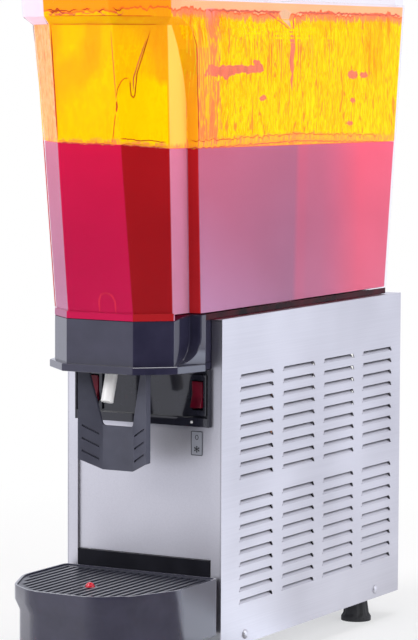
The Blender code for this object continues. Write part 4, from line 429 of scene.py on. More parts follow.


# the drink's tones: "face" paints reflection and shade by facing, pink on left-facing faces and flute walls,
# dark on the right chamfers; "side" and "lowFront" paint a pink reflection along the sides; "ledge" paints
# light into the shaded shoulder strip
drinkTones = {
    "side": ((0.0, (0.5, 0.128, 0.21)), (0.18, (0.475, 0.128, 0.21)), (0.49, (0.39, 0.125, 0.205)),
             (0.51, (0.53, 0.118, 0.195)), (0.535, (0.53, 0.118, 0.195)), (0.56, (0.49, 0.122, 0.2)),
             (0.62, (0.5, 0.122, 0.2)), (0.68, (0.57, 0.12, 0.2)), (0.75, (0.68, 0.118, 0.19)),
             (0.81, (0.78, 0.116, 0.185)), (1.0, (0.74, 0.118, 0.185))),
    "face": ((0.0, (0.66, 0.2, 0.31)), (0.1, (0.51, 0.15, 0.245)), (0.3, (0.51, 0.15, 0.245)),
             (0.36, (0.64, 0.011, 0.062)), (0.56, (0.58, 0.0095, 0.0586)), (0.66, (0.42, 0.01, 0.014)),
             (0.88, (0.42, 0.01, 0.014)), (0.93, (0.66, 0.2, 0.31))),
    "ledge": (0.6, 0.017, 0.022), "lowFront": (0.6, 0.24, 0.4), "surface": (0.62, 0.1, 0.05),
    "depth": ((0.0, (0.78, 1.15, 1.12)), (0.5, (0.83, 1.0, 1.0)), (0.93, (0.99, 1.0, 1.0)),
              (1.0, (1.05, 1.0, 1.0))),
    "cloud": ((0.3, (0.95, 0.94, 0.95)), (0.7, (1.02, 1.0, 1.0)))}


# the emission makes the drink glow: painted light, for it is no lamp
def drinkColour(name="redDrink", paintedGlow=0.3):
    material, tree, shader = newMaterial(name, Roughness=0.4, Emission_Strength=paintedGlow, Specular_IOR_Level=0.02)
    times, plus, line, over, under, size = mathOn(tree)
    face, place = faceAndPlace(tree)
    tones = drinkTones
    side = rampNode(tree, tones["side"], line(place[1], 2.1, 0.36 - 2.1 * behind(0.1)))
    colour = rampNode(tree, tones["face"], line(face[0], 0.5, 0.5))
    colour = mixColour(tree, onLedge(tree, face, place, 0.07), colour, tones["ledge"])
    lowFront = line(place[2], -9.0, line(place[1], -6.0, 4.3 + 6.0 * front))
    side = mixColour(tree, mask(tree, 0.0, 1.0, lowFront, 0.0, 0.55), side, tones["lowFront"])
    colour = mixColour(tree, onSideFace(tree, face, place), colour, side)
    colour = mixColour(tree, over(face[2], 0.7), colour, tones["surface"])
    deep = drinkSet["level"] - bowlSet["floor"]
    depth = rampNode(tree, tones["depth"], line(place[2], 1 / deep, -bowlSet["floor"] / deep))
    colour = mixColour(tree, 1.0, colour, depth, "MULTIPLY")
    cloud = stretchedNoise(tree, (9, 9, 5), 2.0)
    colour = mixColour(tree, 1.0, colour, rampNode(tree, tones["cloud"], cloud), "MULTIPLY")
    for label in ("Base Color", "Emission Color"):
        tree.links.new(colour, shader.inputs[label])
    bumpOn(tree, cloud, 0.05, 0.001, shader)
    return material


# the drink's line on the wall: how far it stands above or below its level
lineSet = {"front": ((-0.075, 0.0047), (0.037, 0.0032), (0.073, -0.0008)),
           "side": ((-0.045, -0.0007), (0.065, 0.0004), (0.17, 0.0018), (0.27, -0.0012), (0.38, -0.004)),
           "blend": (-0.05, 0.05), "most": 0.01}


def lineShift(x, y):
    values = []
    for stops, place in ((lineSet["front"], x), (lineSet["side"], y - front)):
        value = stops[0][1] if place < stops[0][0] else stops[-1][1]
        for (low, first), (high, second) in zip(stops, stops[1:]):
            if low <= place < high:
                value = first + (second - first) * (place - low) / (high - low)
        values.append(value)
    low, high = lineSet["blend"]
    share = min(max((y - front - low) / (high - low), 0), 1)
    return values[0] + (values[1] - values[0]) * share


def lineShiftNode(tree, place):
    most = lineSet["most"]
    found = []
    back = calc(tree, "SUBTRACT", place[1], front)
    for stops, spot in ((lineSet["front"], place[0]), (lineSet["side"], back)):
        low, high = stops[0][0], stops[-1][0]
        greys = tuple(((where - low) / (high - low), (0.5 + value / most,) * 3) for where, value in stops)
        share = calc(tree, "MULTIPLY_ADD", spot, 1 / (high - low), -low / (high - low))
        found.append(rampNode(tree, greys, share))
    low, high = lineSet["blend"]
    share = addNode(tree, "ShaderNodeMapRange", From_Min=low + front, From_Max=high + front)
    tree.links.new(place[1], share.inputs["Value"])
    mixed = brightness(tree, mixColour(tree, share.outputs["Result"], found[0], found[1]))
    return calc(tree, "MULTIPLY_ADD", mixed, most, -most / 2)


# the film's tones, and the heights and distances behind the front plane where they change
filmTones = {
    "front": ((0.3, (0.95, 0.33, 0.01)), (0.48, (0.97, 0.42, 0.008)), (0.66, (0.98, 0.47, 0.005)),
              (0.85, (1.0, 0.56, 0.002))),
    "side": ((0.26, (0.84, 0.12, 0.03)), (0.33, (0.93, 0.28, 0.01)), (0.39, (0.97, 0.46, 0.002)),
             (0.46, (1.0, 0.58, 0.001)), (0.7, (1.0, 0.61, 0.001))),
    "strips": ((0.38, (0.9, 0.2, 0.06)), (0.47, (0.96, 0.4, 0.12)), (0.58, (0.94, 0.42, 0.22)),
               (0.66, (0.92, 0.26, 0.04))),
    "veins": ((0.4, (1, 1, 1)), (0.455, (0.8, 0.5, 0.35)), (0.475, (0.8, 0.5, 0.35)), (0.53, (1, 1, 1))),
    "edge": ((0.0, (0, 0, 0)), (0.3, (1, 1, 1)), (0.6, (1, 1, 1)), (0.95, (0, 0, 0))),
    "chamfer": (1.0, 0.68, 0.001), "patch": (1.0, 0.6, 0.001), "dash": (0.8, 0.2, 0.03),
    "nearFront": (0.84, 0.17, 0.07), "flute": (0.98, 0.56, 0.095), "tide": (0.88, 0.17, 0.1),
    "tideSpot": (0.98, 0.42, 0.03), "rimFront": (0.98, 0.31, 0.012), "rimSide": (0.92, 0.4, 0.2),
    "crest": (0.78, 0.1, 0.03), "high": (0.8, 0.26, 0.26), "left": (0.86, 0.58, 0.66),
    # the last tone is painted light that lifts the shaded shoulder strip
    "paintedGlow": (1.25, 0.47, 0.02)}
filmPlaces = {"chamferFront": -0.059, "chamferLean": 0.09, "archX": 0.058, "archTop": 0.606, "patchTop": 0.63,
              "archFreeTop": 0.628, "archFreeBack": -0.028, "coralBack": 0.022, "tideTop": 0.5375,
              "crest": 0.6775, "highLow": 0.664, "highTop": 0.6665, "highBack": 0.035, "leftLow": 0.65,
              "ledge": 0.0715}


# the film's emission makes it glow all over: painted light
def juiceColour():
    material, tree, shader = newMaterial("juiceFilm", Roughness=0.4, Emission_Strength=0.42,
                                         Specular_IOR_Level=0.02)
    times, plus, line, over, under, size = mathOn(tree)
    tones, at = filmTones, filmPlaces
    face, place = faceAndPlace(tree)
    streaks = stretchedNoise(tree, (95, 95, 17), 4.0, 0.9)
    broad = stretchedNoise(tree, (16, 16, 7), 2.0, 0.4, 3.0)
    fine = stretchedNoise(tree, (330, 330, 60), 3.0, 1.2, 5.0)
    dashes = stretchedNoise(tree, (150, 150, 42), 2.0, 1.4, 9.0)
    onSide = onSideFace(tree, face, place)
    offSide = calc(tree, "SUBTRACT", 1.0, onSide)
    tone = plus(line(broad, 0.75, line(place[2], -1.5, 1.5 * 0.6)), times(streaks, 0.35))
    nose, side = rampNode(tree, tones["front"], tone), rampNode(tree, tones["side"], tone)
    colour = mixColour(tree, onSide, nose, side)

    def coat(share, tint, blend="MIX"):
        nonlocal colour
        colour = mixColour(tree, share, colour, tint, blend)

    # nose: bright chamfer under an arch, yellow patches, streaks on the left, fine veins
    frontLine = behind(at["chamferFront"] + at["chamferLean"] * bowlSet["floor"])
    chamfered = times(over(face[0], 0.35), under(line(place[2], at["chamferLean"], place[1]), frontLine))
    arched = line(size(calc(tree, "SUBTRACT", place[0], at["archX"])), 0.75, place[2])
    below = mask(tree, 0.0, 1.0, line(line(streaks, 0.016, arched), 110, -110 * at["archTop"]), 1.0, 0.0)
    coat(times(chamfered, below), tones["chamfer"])
    yellow = times(over(fine, 0.5), under(place[2], at["patchTop"]))
    coat(times(line(yellow, 0.3, 0.5), times(mask(tree, 0.48, 0.56, broad), offSide)), tones["patch"])
    leftward = times(under(face[0], -0.35), over(face[0], -0.75))
    coat(times(leftward, 0.9), rampNode(tree, tones["strips"], fine))
    coat(line(onSide, 0.75, 0.15), rampNode(tree, tones["veins"], fine), "MULTIPLY")
    # side: short dashes, coral near the front, pale flutes
    dashed = mask(tree, 0.6, 0.64, dashes)
    coat(times(onSide, times(dashed, 0.8)), tones["dash"])
    archFree = calc(tree, "MAXIMUM", under(place[2], at["archFreeTop"]),
                    over(place[1], behind(at["archFreeBack"])))
    nearFront = times(times(onSide, under(line(fine, 0.05, place[1]), behind(at["coralBack"]))), archFree)
    coat(times(nearFront, mask(tree, 0.42, 0.5, dashes, 0.25, 0.85)), tones["nearFront"])
    coat(times(times(over(size(face[0]), 0.93), offSide), 0.92), tones["flute"])
    # foot: the coral tide above the drink's line
    tide = line(streaks, 0.014, calc(tree, "SUBTRACT", place[2], lineShiftNode(tree, place)))
    low = mask(tree, 0.5, 1.0, line(tide, 160, line(onSide, -0.65, -160 * at["tideTop"])), 1.0, 0.0)
    tideTone = mixColour(tree, mask(tree, 0.44, 0.52, fine), tones["tide"], tones["tideSpot"])
    coat(times(low, line(dashed, -0.5, 0.75)), tideTone)
    # head: the ragged crest, the rim above it, coral near the front and a pale left edge, which is a painted
    # reflection on the left-facing faces
    above = line(line(broad, 0.016, line(streaks, 0.014, place[2])), 350, -350 * at["crest"])
    ragged = line(fine, 4.0, line(above, 0.5, -0.9))
    coat(times(onSide, mask(tree, 0.0, 0.5, ragged, 0.0, 0.8)), tones["tide"])
    rim = mixColour(tree, over(size(face[0]), faceSet["straight"]), tones["rimFront"], tones["rimSide"])
    coat(over(above, 0.7), rim)
    coat(times(brightness(tree, rampNode(tree, tones["edge"], above)), 0.8), tones["crest"])
    high = mask(tree, 0.0, 1.0, line(line(dashes, 0.03, place[2]), 60, -60 * at["highLow"]))
    high = times(times(high, under(place[2], at["highTop"])), onSide)
    ahead = times(under(line(dashes, 0.09, place[1]), behind(at["highBack"])), archFree)
    coat(times(high, times(ahead, 0.6)), tones["high"])
    # pale on the left-facing faces high up: painted reflection
    coat(times(under(face[0], -0.3), over(place[2], at["leftLow"])), tones["left"])
    tree.links.new(colour, shader.inputs["Base Color"])
    # the shoulder strip beside the flute glows brighter: painted light lifting its shade
    paintedGlow = mixColour(tree, onLedge(tree, face, place, at["ledge"]), colour, tones["paintedGlow"])
    tree.links.new(paintedGlow, shader.inputs["Emission Color"])
    bumpOn(tree, streaks, 0.2, 0.001, shader)
    return material


# making pieces
def finishPiece(name, shape, material, body, replaced=(), smooth=32, modifiers=()):
    bmesh.ops.recalc_face_normals(shape, faces=shape.faces)
    mesh = bpy.data.meshes.new(name)
    shape.to_mesh(mesh)
    shape.free()
    mesh.materials.append(material)
    mesh.shade_smooth()
    mesh.set_sharp_from_angle(angle=math.radians(smooth))
    item = bpy.data.objects.new(name, mesh)
    scene.collection.objects.link(item)
    for kind, values in modifiers:
        added = item.modifiers.new(kind.lower(), kind)
        for key, value in values.items():
            setattr(added, key, value)
    even = item.modifiers.new("evenNormals", "WEIGHTED_NORMAL")
    even.keep_sharp = True
    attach(item, body)
    if replaced:
        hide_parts(*replaced)
    return item


def softCopy(name, node, width, segments=2, material=None, angle=28, smooth=32):
    shape = bmesh.new()
    shape.from_mesh(nodes[node].data)
    bmesh.ops.remove_doubles(shape, verts=shape.verts, dist=1e-6)
    bmesh.ops.dissolve_limit(shape, angle_limit=math.radians(1), verts=shape.verts, edges=shape.edges)
    sharp = [edge for edge in shape.edges
             if len(edge.link_faces) == 2 and edge.calc_face_angle(0) > math.radians(angle)]
    bmesh.ops.bevel(shape, geom=sharp, offset=width, segments=segments, profile=0.5, material=-1,
                    affect="EDGES", clamp_overlap=True)
    body = nodes[node]["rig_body"]
    return finishPiece(name, shape, material or finishes[slotOf[node]], body, (node,), smooth)


def roundCorners(points, radii, steps):
    result = []
    count = len(points)
    for i in range(count):
        corner = Vector(points[i])
        before = Vector(points[i - 1]) - corner
        after = Vector(points[(i + 1) % count]) - corner
        half = before.angle(after) / 2
        reach = min(radii[i] / math.tan(half), 0.45 * before.length, 0.45 * after.length)
        if reach < 1e-5:
            result += [tuple(corner)] * (steps + 1)
            continue
        radius = reach * math.tan(half)
        before.normalize()
        after.normalize()
        centre = corner + (before + after).normalized() * radius / math.sin(half)
        start = corner + before * reach - centre
        sweep = start.angle_signed(corner + after * reach - centre)
        for k in range(steps + 1):
            result.append(tuple(centre + Matrix.Rotation(-sweep * k / steps, 2) @ start))
    return result


def moveOut(outline, amount):
    turning = sum(x0 * y1 - x1 * y0 for (x0, y0), (x1, y1) in zip(outline[-1:] + outline[:-1], outline))
    side = 1 if turning > 0 else -1
    result = []
    for i, point in enumerate(outline):
        here = Vector(point)
        first = (here - Vector(outline[i - 1])).normalized()
        second = (Vector(outline[(i + 1) % len(outline)]) - here).normalized()
        normals = Vector((first.y, -first.x)) * side, Vector((second.y, -second.x)) * side
        result.append(tuple(here + (normals[0] + normals[1]) / (1 + normals[0].dot(normals[1])) * amount))
    return result


def bothSides(rightHalf):
    return rightHalf + [(-x, y) for x, y in reversed(rightHalf)]


def ringEdges(shape, points, height):
    corners = [shape.verts.new((x, y, height)) for x, y in points]
    return [shape.edges.new((corners[i - 1], corners[i])) for i in range(len(corners))]


def skinRings(shape, rings):
    for first, second in zip(rings, rings[1:]):
        bmesh.ops.bridge_loops(shape, edges=first + second)


# bowl: chamfered nose, flutes down the sides, stepped rim; a draft is metres out per metre up
bowlSet = {"floor": 0.367, "top": 0.676, "wall": 0.0013, "floorThick": 0.0009, "side": 0.084,
           "sideDraft": 0.0207, "rear": 0.3835, "rearDraft": 0.0863, "rearCorner": 0.0026,
           "noseFlat": 0.038, "noseFlatDraft": -0.008, "noseFront": 0.0855, "noseDraft": 0.131,
           "noseCorner": 0.0686, "noseCornerDraft": 0.0265,
           "cornerFront": 0.0586, "cornerFrontDraft": 0.09, "fluteInner": 0.0705, "fluteInnerDraft": 0.0282,
           "shoulderFront": 0.0312, "shoulderDraft": 0.0775, "fadeStart": 0.558, "archStart": 0.627,
           "stepStart": 0.6495, "stepEnd": 0.6575, "step": 0.0075, "flare": 0.0022, "flareStart": 0.59,
           "edgeRadius": 0.0024, "noseRadius": 0.0022, "cornerSteps": 4, "hole": 0.065, "holeBack": 0.185}


def between(value, low, high):
    return min(max((value - low) / (high - low), 0), 1)


def mixPoints(first, second, share):
    return tuple(a + (b - a) * share for a, b in zip(first, second))


def bowlHalf(height):
    s = bowlSet
    rise = height - s["floor"]
    step = between(height, s["stepStart"], s["stepEnd"])
    fade = between(height, s["fadeStart"], s["stepEnd"]) ** 2
    arch = 1 - math.sqrt(1 - between(height, s["archStart"], s["stepEnd"]) ** 2)
    rim = between(height, s["stepEnd"], s["top"])
    side = s["side"] + s["sideDraft"] * rise
    shoulder = (side, behind(-s["shoulderFront"] - s["shoulderDraft"] * rise))
    root = mixPoints((s["fluteInner"] + s["fluteInnerDraft"] * rise, shoulder[1]), shoulder, step)
    flare = s["flare"] * between(height, s["flareStart"], s["stepStart"]) * (1 - step)
    flat = (s["noseFlat"] + s["noseFlatDraft"] * rise + step * s["step"] / 5 + flare / 4,
            behind(-s["noseFront"] - s["noseDraft"] * rise - step * s["step"] - flare / 3))
    corner = (s["noseCorner"] + s["noseCornerDraft"] * rise + step * s["step"] * 1.2 + flare / 2,
              behind(-s["cornerFront"] - s["cornerFrontDraft"] * rise - step * s["step"] - flare))
    inner = mixPoints(root, corner, fade * (0.93 - 0.35 * rim))
    outer = mixPoints(shoulder, corner, arch * (0.85 - 0.35 * rim))
    rear = behind(s["rear"] + s["rearDraft"] * rise)
    return [flat, corner, inner, outer, (side, rear)]


def bowlRing(height, inset=0.0):
    outline = moveOut(bothSides(bowlHalf(height)), -inset)
    edge = max(bowlSet["edgeRadius"] - inset * 0.5, 0.001)
    radii = [bowlSet["noseRadius"], bowlSet["noseRadius"], edge, edge, bowlSet["rearCorner"]]
    return roundCorners(outline, radii + radii[::-1], bowlSet["cornerSteps"])


def levelsOf(low, high, count):
    s = bowlSet
    keys = [s["flareStart"], s["fadeStart"], s["archStart"], s["stepStart"], s["stepEnd"]]
    arch = s["stepEnd"] - s["archStart"]
    keys += [s["archStart"] + arch * math.sin(math.pi / 2 * k / 10) for k in range(1, 10)]
    keys += [low + (high - low) * k / count for k in range(count + 1)]
    found = sorted(key for key in keys if low <= key <= high)
    return [key for i, key in enumerate(found) if i == 0 or key - found[i - 1] > 1e-4]


def wallRings(shape, inset, levels):
    return [ringEdges(shape, bowlRing(z, inset), z) for z in levels]


def roundEdges(shape, centre, radius, height):
    made = bmesh.ops.create_circle(shape, cap_ends=False, segments=48, radius=radius,
                                   matrix=Matrix.Translation((*centre, height)))
    return list({edge for vert in made["verts"] for edge in vert.link_edges})


def holedFloor(shape, outer, centre, radius, height):
    inner = roundEdges(shape, centre, radius, height)
    bmesh.ops.triangle_fill(shape, use_beauty=True, edges=outer + inner)
    return inner


def makeBowl():
    s = bowlSet
    shape = bmesh.new()
    outside = wallRings(shape, 0.0, levelsOf(s["floor"], s["top"], 12))
    inside = wallRings(shape, s["wall"], reversed(levelsOf(s["floor"] + s["floorThick"], s["top"], 12)))
    skinRings(shape, outside + inside)
    centre = (0, behind(s["holeBack"]))
    lower = holedFloor(shape, outside[0], centre, s["hole"], s["floor"])
    upper = holedFloor(shape, inside[-1], centre, s["hole"], s["floor"] + s["floorThick"])
    bmesh.ops.bridge_loops(shape, edges=lower + upper)
    finishPiece("bowlShell", shape, finishes["clear_plastic"], "bowl", ("bowl",), smooth=35)


makeBowl()


# drink up to its level, open round the cooler and the pump
drinkSet = {"level": 0.531, "gap": 0.0004, "coolerRadius": 0.066, "coolerTop": 0.489, "coverRadius": 0.0365,
            "coverTop": 0.5295, "tubeRadius": 0.0075}


def followLine(shape, height):
    for vert in shape.verts:
        if abs(vert.co.z - height) < 1e-6:
            vert.co.z += lineShift(vert.co.x, vert.co.y)


def makeDrink():
    d = drinkSet
    inset = bowlSet["wall"] + d["gap"]
    low = bowlSet["floor"] + bowlSet["floorThick"] + d["gap"] / 2
    shape = bmesh.new()
    rings = wallRings(shape, inset, levelsOf(low, d["level"], 8))
    skinRings(shape, rings)
    centre = (0, behind(bowlSet["holeBack"]))
    under = holedFloor(shape, rings[0], centre, d["coolerRadius"], low)
    over = holedFloor(shape, rings[-1], centre, d["tubeRadius"], d["level"])
    steps = [(d["coolerRadius"], d["coolerTop"]), (d["coverRadius"], d["coolerTop"] + d["gap"]),
             (d["coverRadius"], d["coverTop"]), (d["tubeRadius"], d["coverTop"] + d["gap"])]
    well = [roundEdges(shape, centre, radius, height) for radius, height in steps]
    skinRings(shape, [under] + well + [over])
    followLine(shape, d["level"])
    finishPiece("drinkBody", shape, drinkColour(), "bowl", smooth=4)


makeDrink()


# juice film on the walls above the drink
filmSet = {"low": 0.5315, "high": 0.6735, "thick": 0.0004, "gap": 0.0002}


def makeFilm():
    f = filmSet
    inset = bowlSet["wall"] + f["gap"]
    shape = bmesh.new()
    levels = levelsOf(f["low"], f["high"], 6)
    outside = wallRings(shape, inset, levels)
    inside = wallRings(shape, inset + f["thick"], reversed(levels))
    skinRings(shape, outside + inside + outside[:1])
    followLine(shape, f["low"])
    finishPiece("juiceFilm", shape, juiceColour(), "bowl", smooth=4)


makeFilm()


# apron: the foot of the nose, lower than the bowl's floor
apronSet = {"low": 0.3622, "high": 0.3692, "out": 0.0002, "thick": 0.0005, "flat": 0.01}


def makeApron():
    a = apronSet
    shape = bmesh.new()
    loops = []
    for out in (a["out"], a["out"] - a["thick"]):
        ring = bowlRing(bowlSet["floor"], -out)
        nose = [point for point in ring if point[1] < behind(-bowlSet["cornerFront"] + bowlSet["noseRadius"])]
        flatBack = behind(-bowlSet["noseFront"] + a["flat"])
        start = [i for i in range(len(nose)) if nose[i][0] * nose[i - 1][0] < 0 and nose[i][1] > flatBack][0]
        loops.append(nose[start:] + nose[:start])
    for height in (a["low"], a["high"]):
        for loop in loops:
            for point in loop:
                shape.verts.new((*point, height))
    shape.verts.ensure_lookup_table()
    count = len(loops[0])
    grid = [shape.verts[k * count:(k + 1) * count] for k in (0, 1, 3, 2)]
    for k in range(4):
        first, second = grid[k - 1], grid[k]
        for i in range(count - 1):
            shape.faces.new((first[i], first[i + 1], second[i + 1], second[i]))
    shape.faces.new([row[0] for row in grid])
    shape.faces.new([row[-1] for row in grid])
    # it takes the drink's painted shade and reflection, with a weaker painted glow
    finishPiece("noseApron", shape, drinkColour("apronDrink", paintedGlow=0.12), "bowl", smooth=35)


makeApron()
print("bowl, drink and film made")


# drips and edges: thin ridges of juice laid on the bowl's inner wall
def ringSpot(along, height, inset):
    ring = bowlRing(height, inset)
    right = ring[:len(ring) // 2]
    points = [(0, right[0][1])] + right + [(0, right[-1][1])]
    left = abs(along)
    for first, second in zip(points, points[1:]):
        step = Vector(second) - Vector(first)
        if left <= step.length and step.length > 1e-6:
            break
        left -= step.length
    unit = step.normalized()
    place = Vector(first) + unit * left
    inward = Vector((-unit.y, unit.x))
    side = -1 if along < 0 else 1
    return Vector((side * place.x, place.y, height)), Vector((side * inward.x, inward.y, 0))


def addRidge(shape, path, widths, raised, inset):
    rows = []
    for i, ((along, height), width) in enumerate(zip(path, widths)):
        before, after = path[max(i - 1, 0)], path[min(i + 1, len(path) - 1)]
        way = Vector((after[0] - before[0], after[1] - before[1])).normalized()
        across = (-way.y * width, way.x * width)
        row = []
        for share, lift in ((1, 0), (0, min(raised, 0.0008)), (-1, 0)):
            place, inward = ringSpot(along + across[0] * share, height + across[1] * share, inset)
            row.append(shape.verts.new(place + inward * lift))
        rows.append(row)
    for first, second in zip(rows, rows[1:]):
        for a in range(3):
            shape.faces.new((first[a - 1], first[a], second[a], second[a - 1]))
    shape.faces.new(rows[0])
    shape.faces.new(rows[-1])


def alongOf(height, corner):
    points = [(0, bowlHalf(height)[0][1])] + bowlHalf(height)
    return sum((Vector(b) - Vector(a)).length for a, b in zip(points[:corner + 1], points[1:corner + 2]))


def wavyRidge(shape, start, end, height, sway, pitch, width, inset, seed, arch=0.0, follow=False):
    count = max(int(abs(end - start) / 0.0011), 6)
    path, widths = [], []
    for k in range(count + 1):
        along = start + (end - start) * k / count
        wave = noise.noise(Vector((along / pitch, seed, 0))) * sway
        wave += noise.noise(Vector((along * 3.1 / pitch, seed + 7, 0))) * sway * 0.5
        wave -= abs(math.sin(along * math.pi / (pitch * 1.7))) * arch
        if follow:
            place = ringSpot(along, height, inset)[0]
            wave += lineShift(place.x, place.y)
        path.append((along, height + wave))
        taper = min(k, count - k, 3) / 3
        swell = 0.7 + 0.6 * abs(noise.noise(Vector((along / pitch, seed + 3, 1))))
        widths.append(width * (0.12 + 0.88 * taper) * swell)
    addRidge(shape, path, widths, width * 0.5, inset)


def drip(shape, path, width, inset, narrow=1.0):
    smooth = []
    for first, second in zip(path, path[1:]):
        for k in range(6):
            smooth.append(mixPoints(first, second, k / 6))
    smooth.append(path[-1])
    last = len(smooth) - 1
    widths = [width * (0.15 + 0.85 * min(k, last - k, 3) / 3) * (1 + (narrow - 1) * k / last)
              for k in range(last + 1)]
    addRidge(shape, smooth, widths, width * 0.5, inset)


# a tone's emission makes its drips glow: painted light
def plainJuice(name, tone, paintedGlow):
    material, tree, shader = newMaterial(name + "Colour", Roughness=0.35, Specular_IOR_Level=0.1,
                                         Emission_Strength=paintedGlow)
    cloud = stretchedNoise(tree, (120, 120, 40), 2.0)
    darker = tuple(value * 0.8 for value in tone)
    colour = rampNode(tree, ((0.35, darker), (0.65, tone)), cloud, shader.inputs["Base Color"])
    tree.links.new(colour, shader.inputs["Emission Color"])
    bumpOn(tree, cloud, 0.1, 0.0005, shader)
    return material


# places on the bowl's wall are given as (distance round it from the nose's middle, height)
ridgeSet = {"inset": 0.00143, "noseInset": 0.00133, "drink": 0.531, "crest": 0.6575,
            "sideRuns": 46, "frontRuns": 18}
# each tone's second number is its painted glow
juiceTones = {"amberDrips": ((1.0, 0.42, 0.02), 0.3), "coralDrips": ((0.92, 0.17, 0.09), 0.0),
              "deepDrips": ((0.72, 0.09, 0.015), 0.0), "brightDrips": ((1.0, 0.7, 0.02), 0.3),
              "peachNotch": ((1.0, 0.6, 0.34), 0.0), "salmonSpots": ((0.84, 0.19, 0.1), 0.3),
              "tapWellGlow": ((0.78, 0.03, 0.085), 0.0)}
sideSpots = ((0.2606, 0.5778, 0.003), (0.4625, 0.6003, 0.0046), (0.489, 0.6, 0.0038), (0.463, 0.573, 0.0026),
             (0.455, 0.549, 0.0028), (0.247, 0.614, 0.003))
notchRuns = (
    ("coralDrips", 0.001, 1.0, ((0.28, 0.665), (0.302, 0.659), (0.314, 0.652), (0.324, 0.643), (0.334, 0.652),
                                 (0.344, 0.66), (0.352, 0.665))),
    ("salmonSpots", 0.0052, 0.8, ((0.324, 0.644), (0.326, 0.63), (0.322, 0.615), (0.325, 0.6))),
    ("salmonSpots", 0.003, 0.4, ((0.325, 0.603), (0.322, 0.594), (0.324, 0.584))),
    ("peachNotch", 0.018, 0.05, ((0.324, 0.668), (0.324, 0.66), (0.324, 0.6475))))
noseRuns = (
    ("deepDrips", 0.0005, ((0.0725, 0.644), (0.0631, 0.6196), (0.0564, 0.6026), (0.054, 0.588),
                           (0.053, 0.582), (0.0513, 0.5797), (0.0493, 0.582), (0.0489, 0.59),
                           (0.0492, 0.5965))),
    ("coralDrips", 0.0005, ((0.068, 0.636), (0.06, 0.617), (0.0528, 0.599), (0.0516, 0.586))),
    ("deepDrips", 0.0004, ((0.0479, 0.5984), (0.044, 0.5983), (0.0405, 0.5955), (0.0362, 0.588),
                           (0.034, 0.578))),
    ("coralDrips", 0.0004, ((0.0335, 0.644), (0.0338, 0.61), (0.034, 0.576))),
    ("deepDrips", 0.0009, ((0.0343, 0.5765), (0.0345, 0.571), (0.0333, 0.5654))),
    ("deepDrips", 0.0004, ((0.0325, 0.564), (0.0316, 0.56), (0.029, 0.548), (0.027, 0.537))),
    ("deepDrips", 0.0008, ((-0.0335, 0.65), (-0.0345, 0.61), (-0.035, 0.57), (-0.0352, 0.538))))
wellOutline = ((-0.0005, 0.369), (-0.0005, 0.381), (0.002, 0.3868), (0.0077, 0.389), (0.0144, 0.3868),
               (0.0179, 0.381), (0.0179, 0.369))


def layTides(shapes, inset):
    amber, coral, deep = (shapes[name] for name in ("amberDrips", "coralDrips", "deepDrips"))
    level, crest = ridgeSet["drink"], ridgeSet["crest"]
    for seed, (start, end) in enumerate(((-0.034, 0.03), (0.036, 0.083), (0.115, 0.3), (0.29, 0.52),
                                         (-0.52, -0.11))):
        wavyRidge(amber, start, end, level + 0.0015, 0.0026, 0.009, 0.001, inset, seed, follow=True)
        wavyRidge(coral, start, end, level + 0.0002, 0.0018, 0.006, 0.0007, inset - 0.00006, seed + 20,
                  follow=True)
    wavyRidge(deep, 0.036, 0.081, level + 0.0062, 0.001, 0.012, 0.0006, inset, 31, follow=True)
    wavyRidge(deep, 0.118, 0.52, level + 0.0075, 0.004, 0.01, 0.0005, inset, 37, follow=True)
    # scalloped crest
    for seed, (start, end) in enumerate(((-0.033, 0.002), (0.006, 0.017), (0.024, 0.034), (0.04, 0.052),
                                         (-0.03, -0.012))):
        height = crest + 0.0065 + 0.0012 * (seed % 2)
        wavyRidge(deep, start, end, height, 0.003, 0.006, 0.0008, inset, seed + 40, 0.0022)
        wavyRidge(coral, start, end, crest + 0.0035, 0.003, 0.005, 0.0006, inset, seed + 50, 0.0018)
    wavyRidge(coral, 0.165, 0.318, crest + 0.007, 0.002, 0.008, 0.0013, inset, 61)
    wavyRidge(coral, 0.352, 0.59, crest + 0.0072, 0.002, 0.008, 0.0013, inset, 63)


def laySpots(shape, inset):
    wavyRidge(shape, 0.146, 0.262, 0.607, 0.004, 0.02, 0.0048, inset, 71)
    wavyRidge(shape, 0.14, 0.205, 0.603, 0.005, 0.016, 0.0036, inset, 73)
    for along, height, radius in sideSpots:
        reach = radius * 2.6
        wavyRidge(shape, along - reach, along + reach, height, 0.0014, 0.003, radius, inset, along * 90)


def chance(seed, step, other):
    return noise.noise(Vector((seed * step, other, 0)))


def laySideRuns(shapes, inset):
    for seed in range(ridgeSet["sideRuns"]):
        along = 0.118 + 0.4 * (0.5 + 0.5 * chance(seed, 3.7, 1.3)) + 0.002 * (seed % 5)
        top = 0.65 - 0.045 * abs(chance(seed, 1.9, 5.1))
        length = 0.018 + 0.075 * abs(chance(seed, 2.3, 9.7))
        sway = 0.0022 * chance(seed, 4.1, 2.2)
        tone = ("deepDrips", "amberDrips", "coralDrips")[seed % 3]
        path = ((along, top), (along + sway, top - length * 0.5), (along + sway * 0.4, top - length))
        drip(shapes[tone], path, 0.0005, inset, 0.5)
    for seed in range(ridgeSet["frontRuns"]):
        along = 0.114 + 0.0022 * seed
        top = 0.652 - 0.01 * (seed % 3)
        length = 0.05 + 0.05 * abs(chance(seed, 2.9, 3.3))
        tone = ("brightDrips", "amberDrips")[seed % 2]
        path = ((along, top), (along + 0.0016, top - length * 0.5), (along - 0.0008, top - length))
        drip(shapes[tone], path, 0.0006, inset, 0.7)


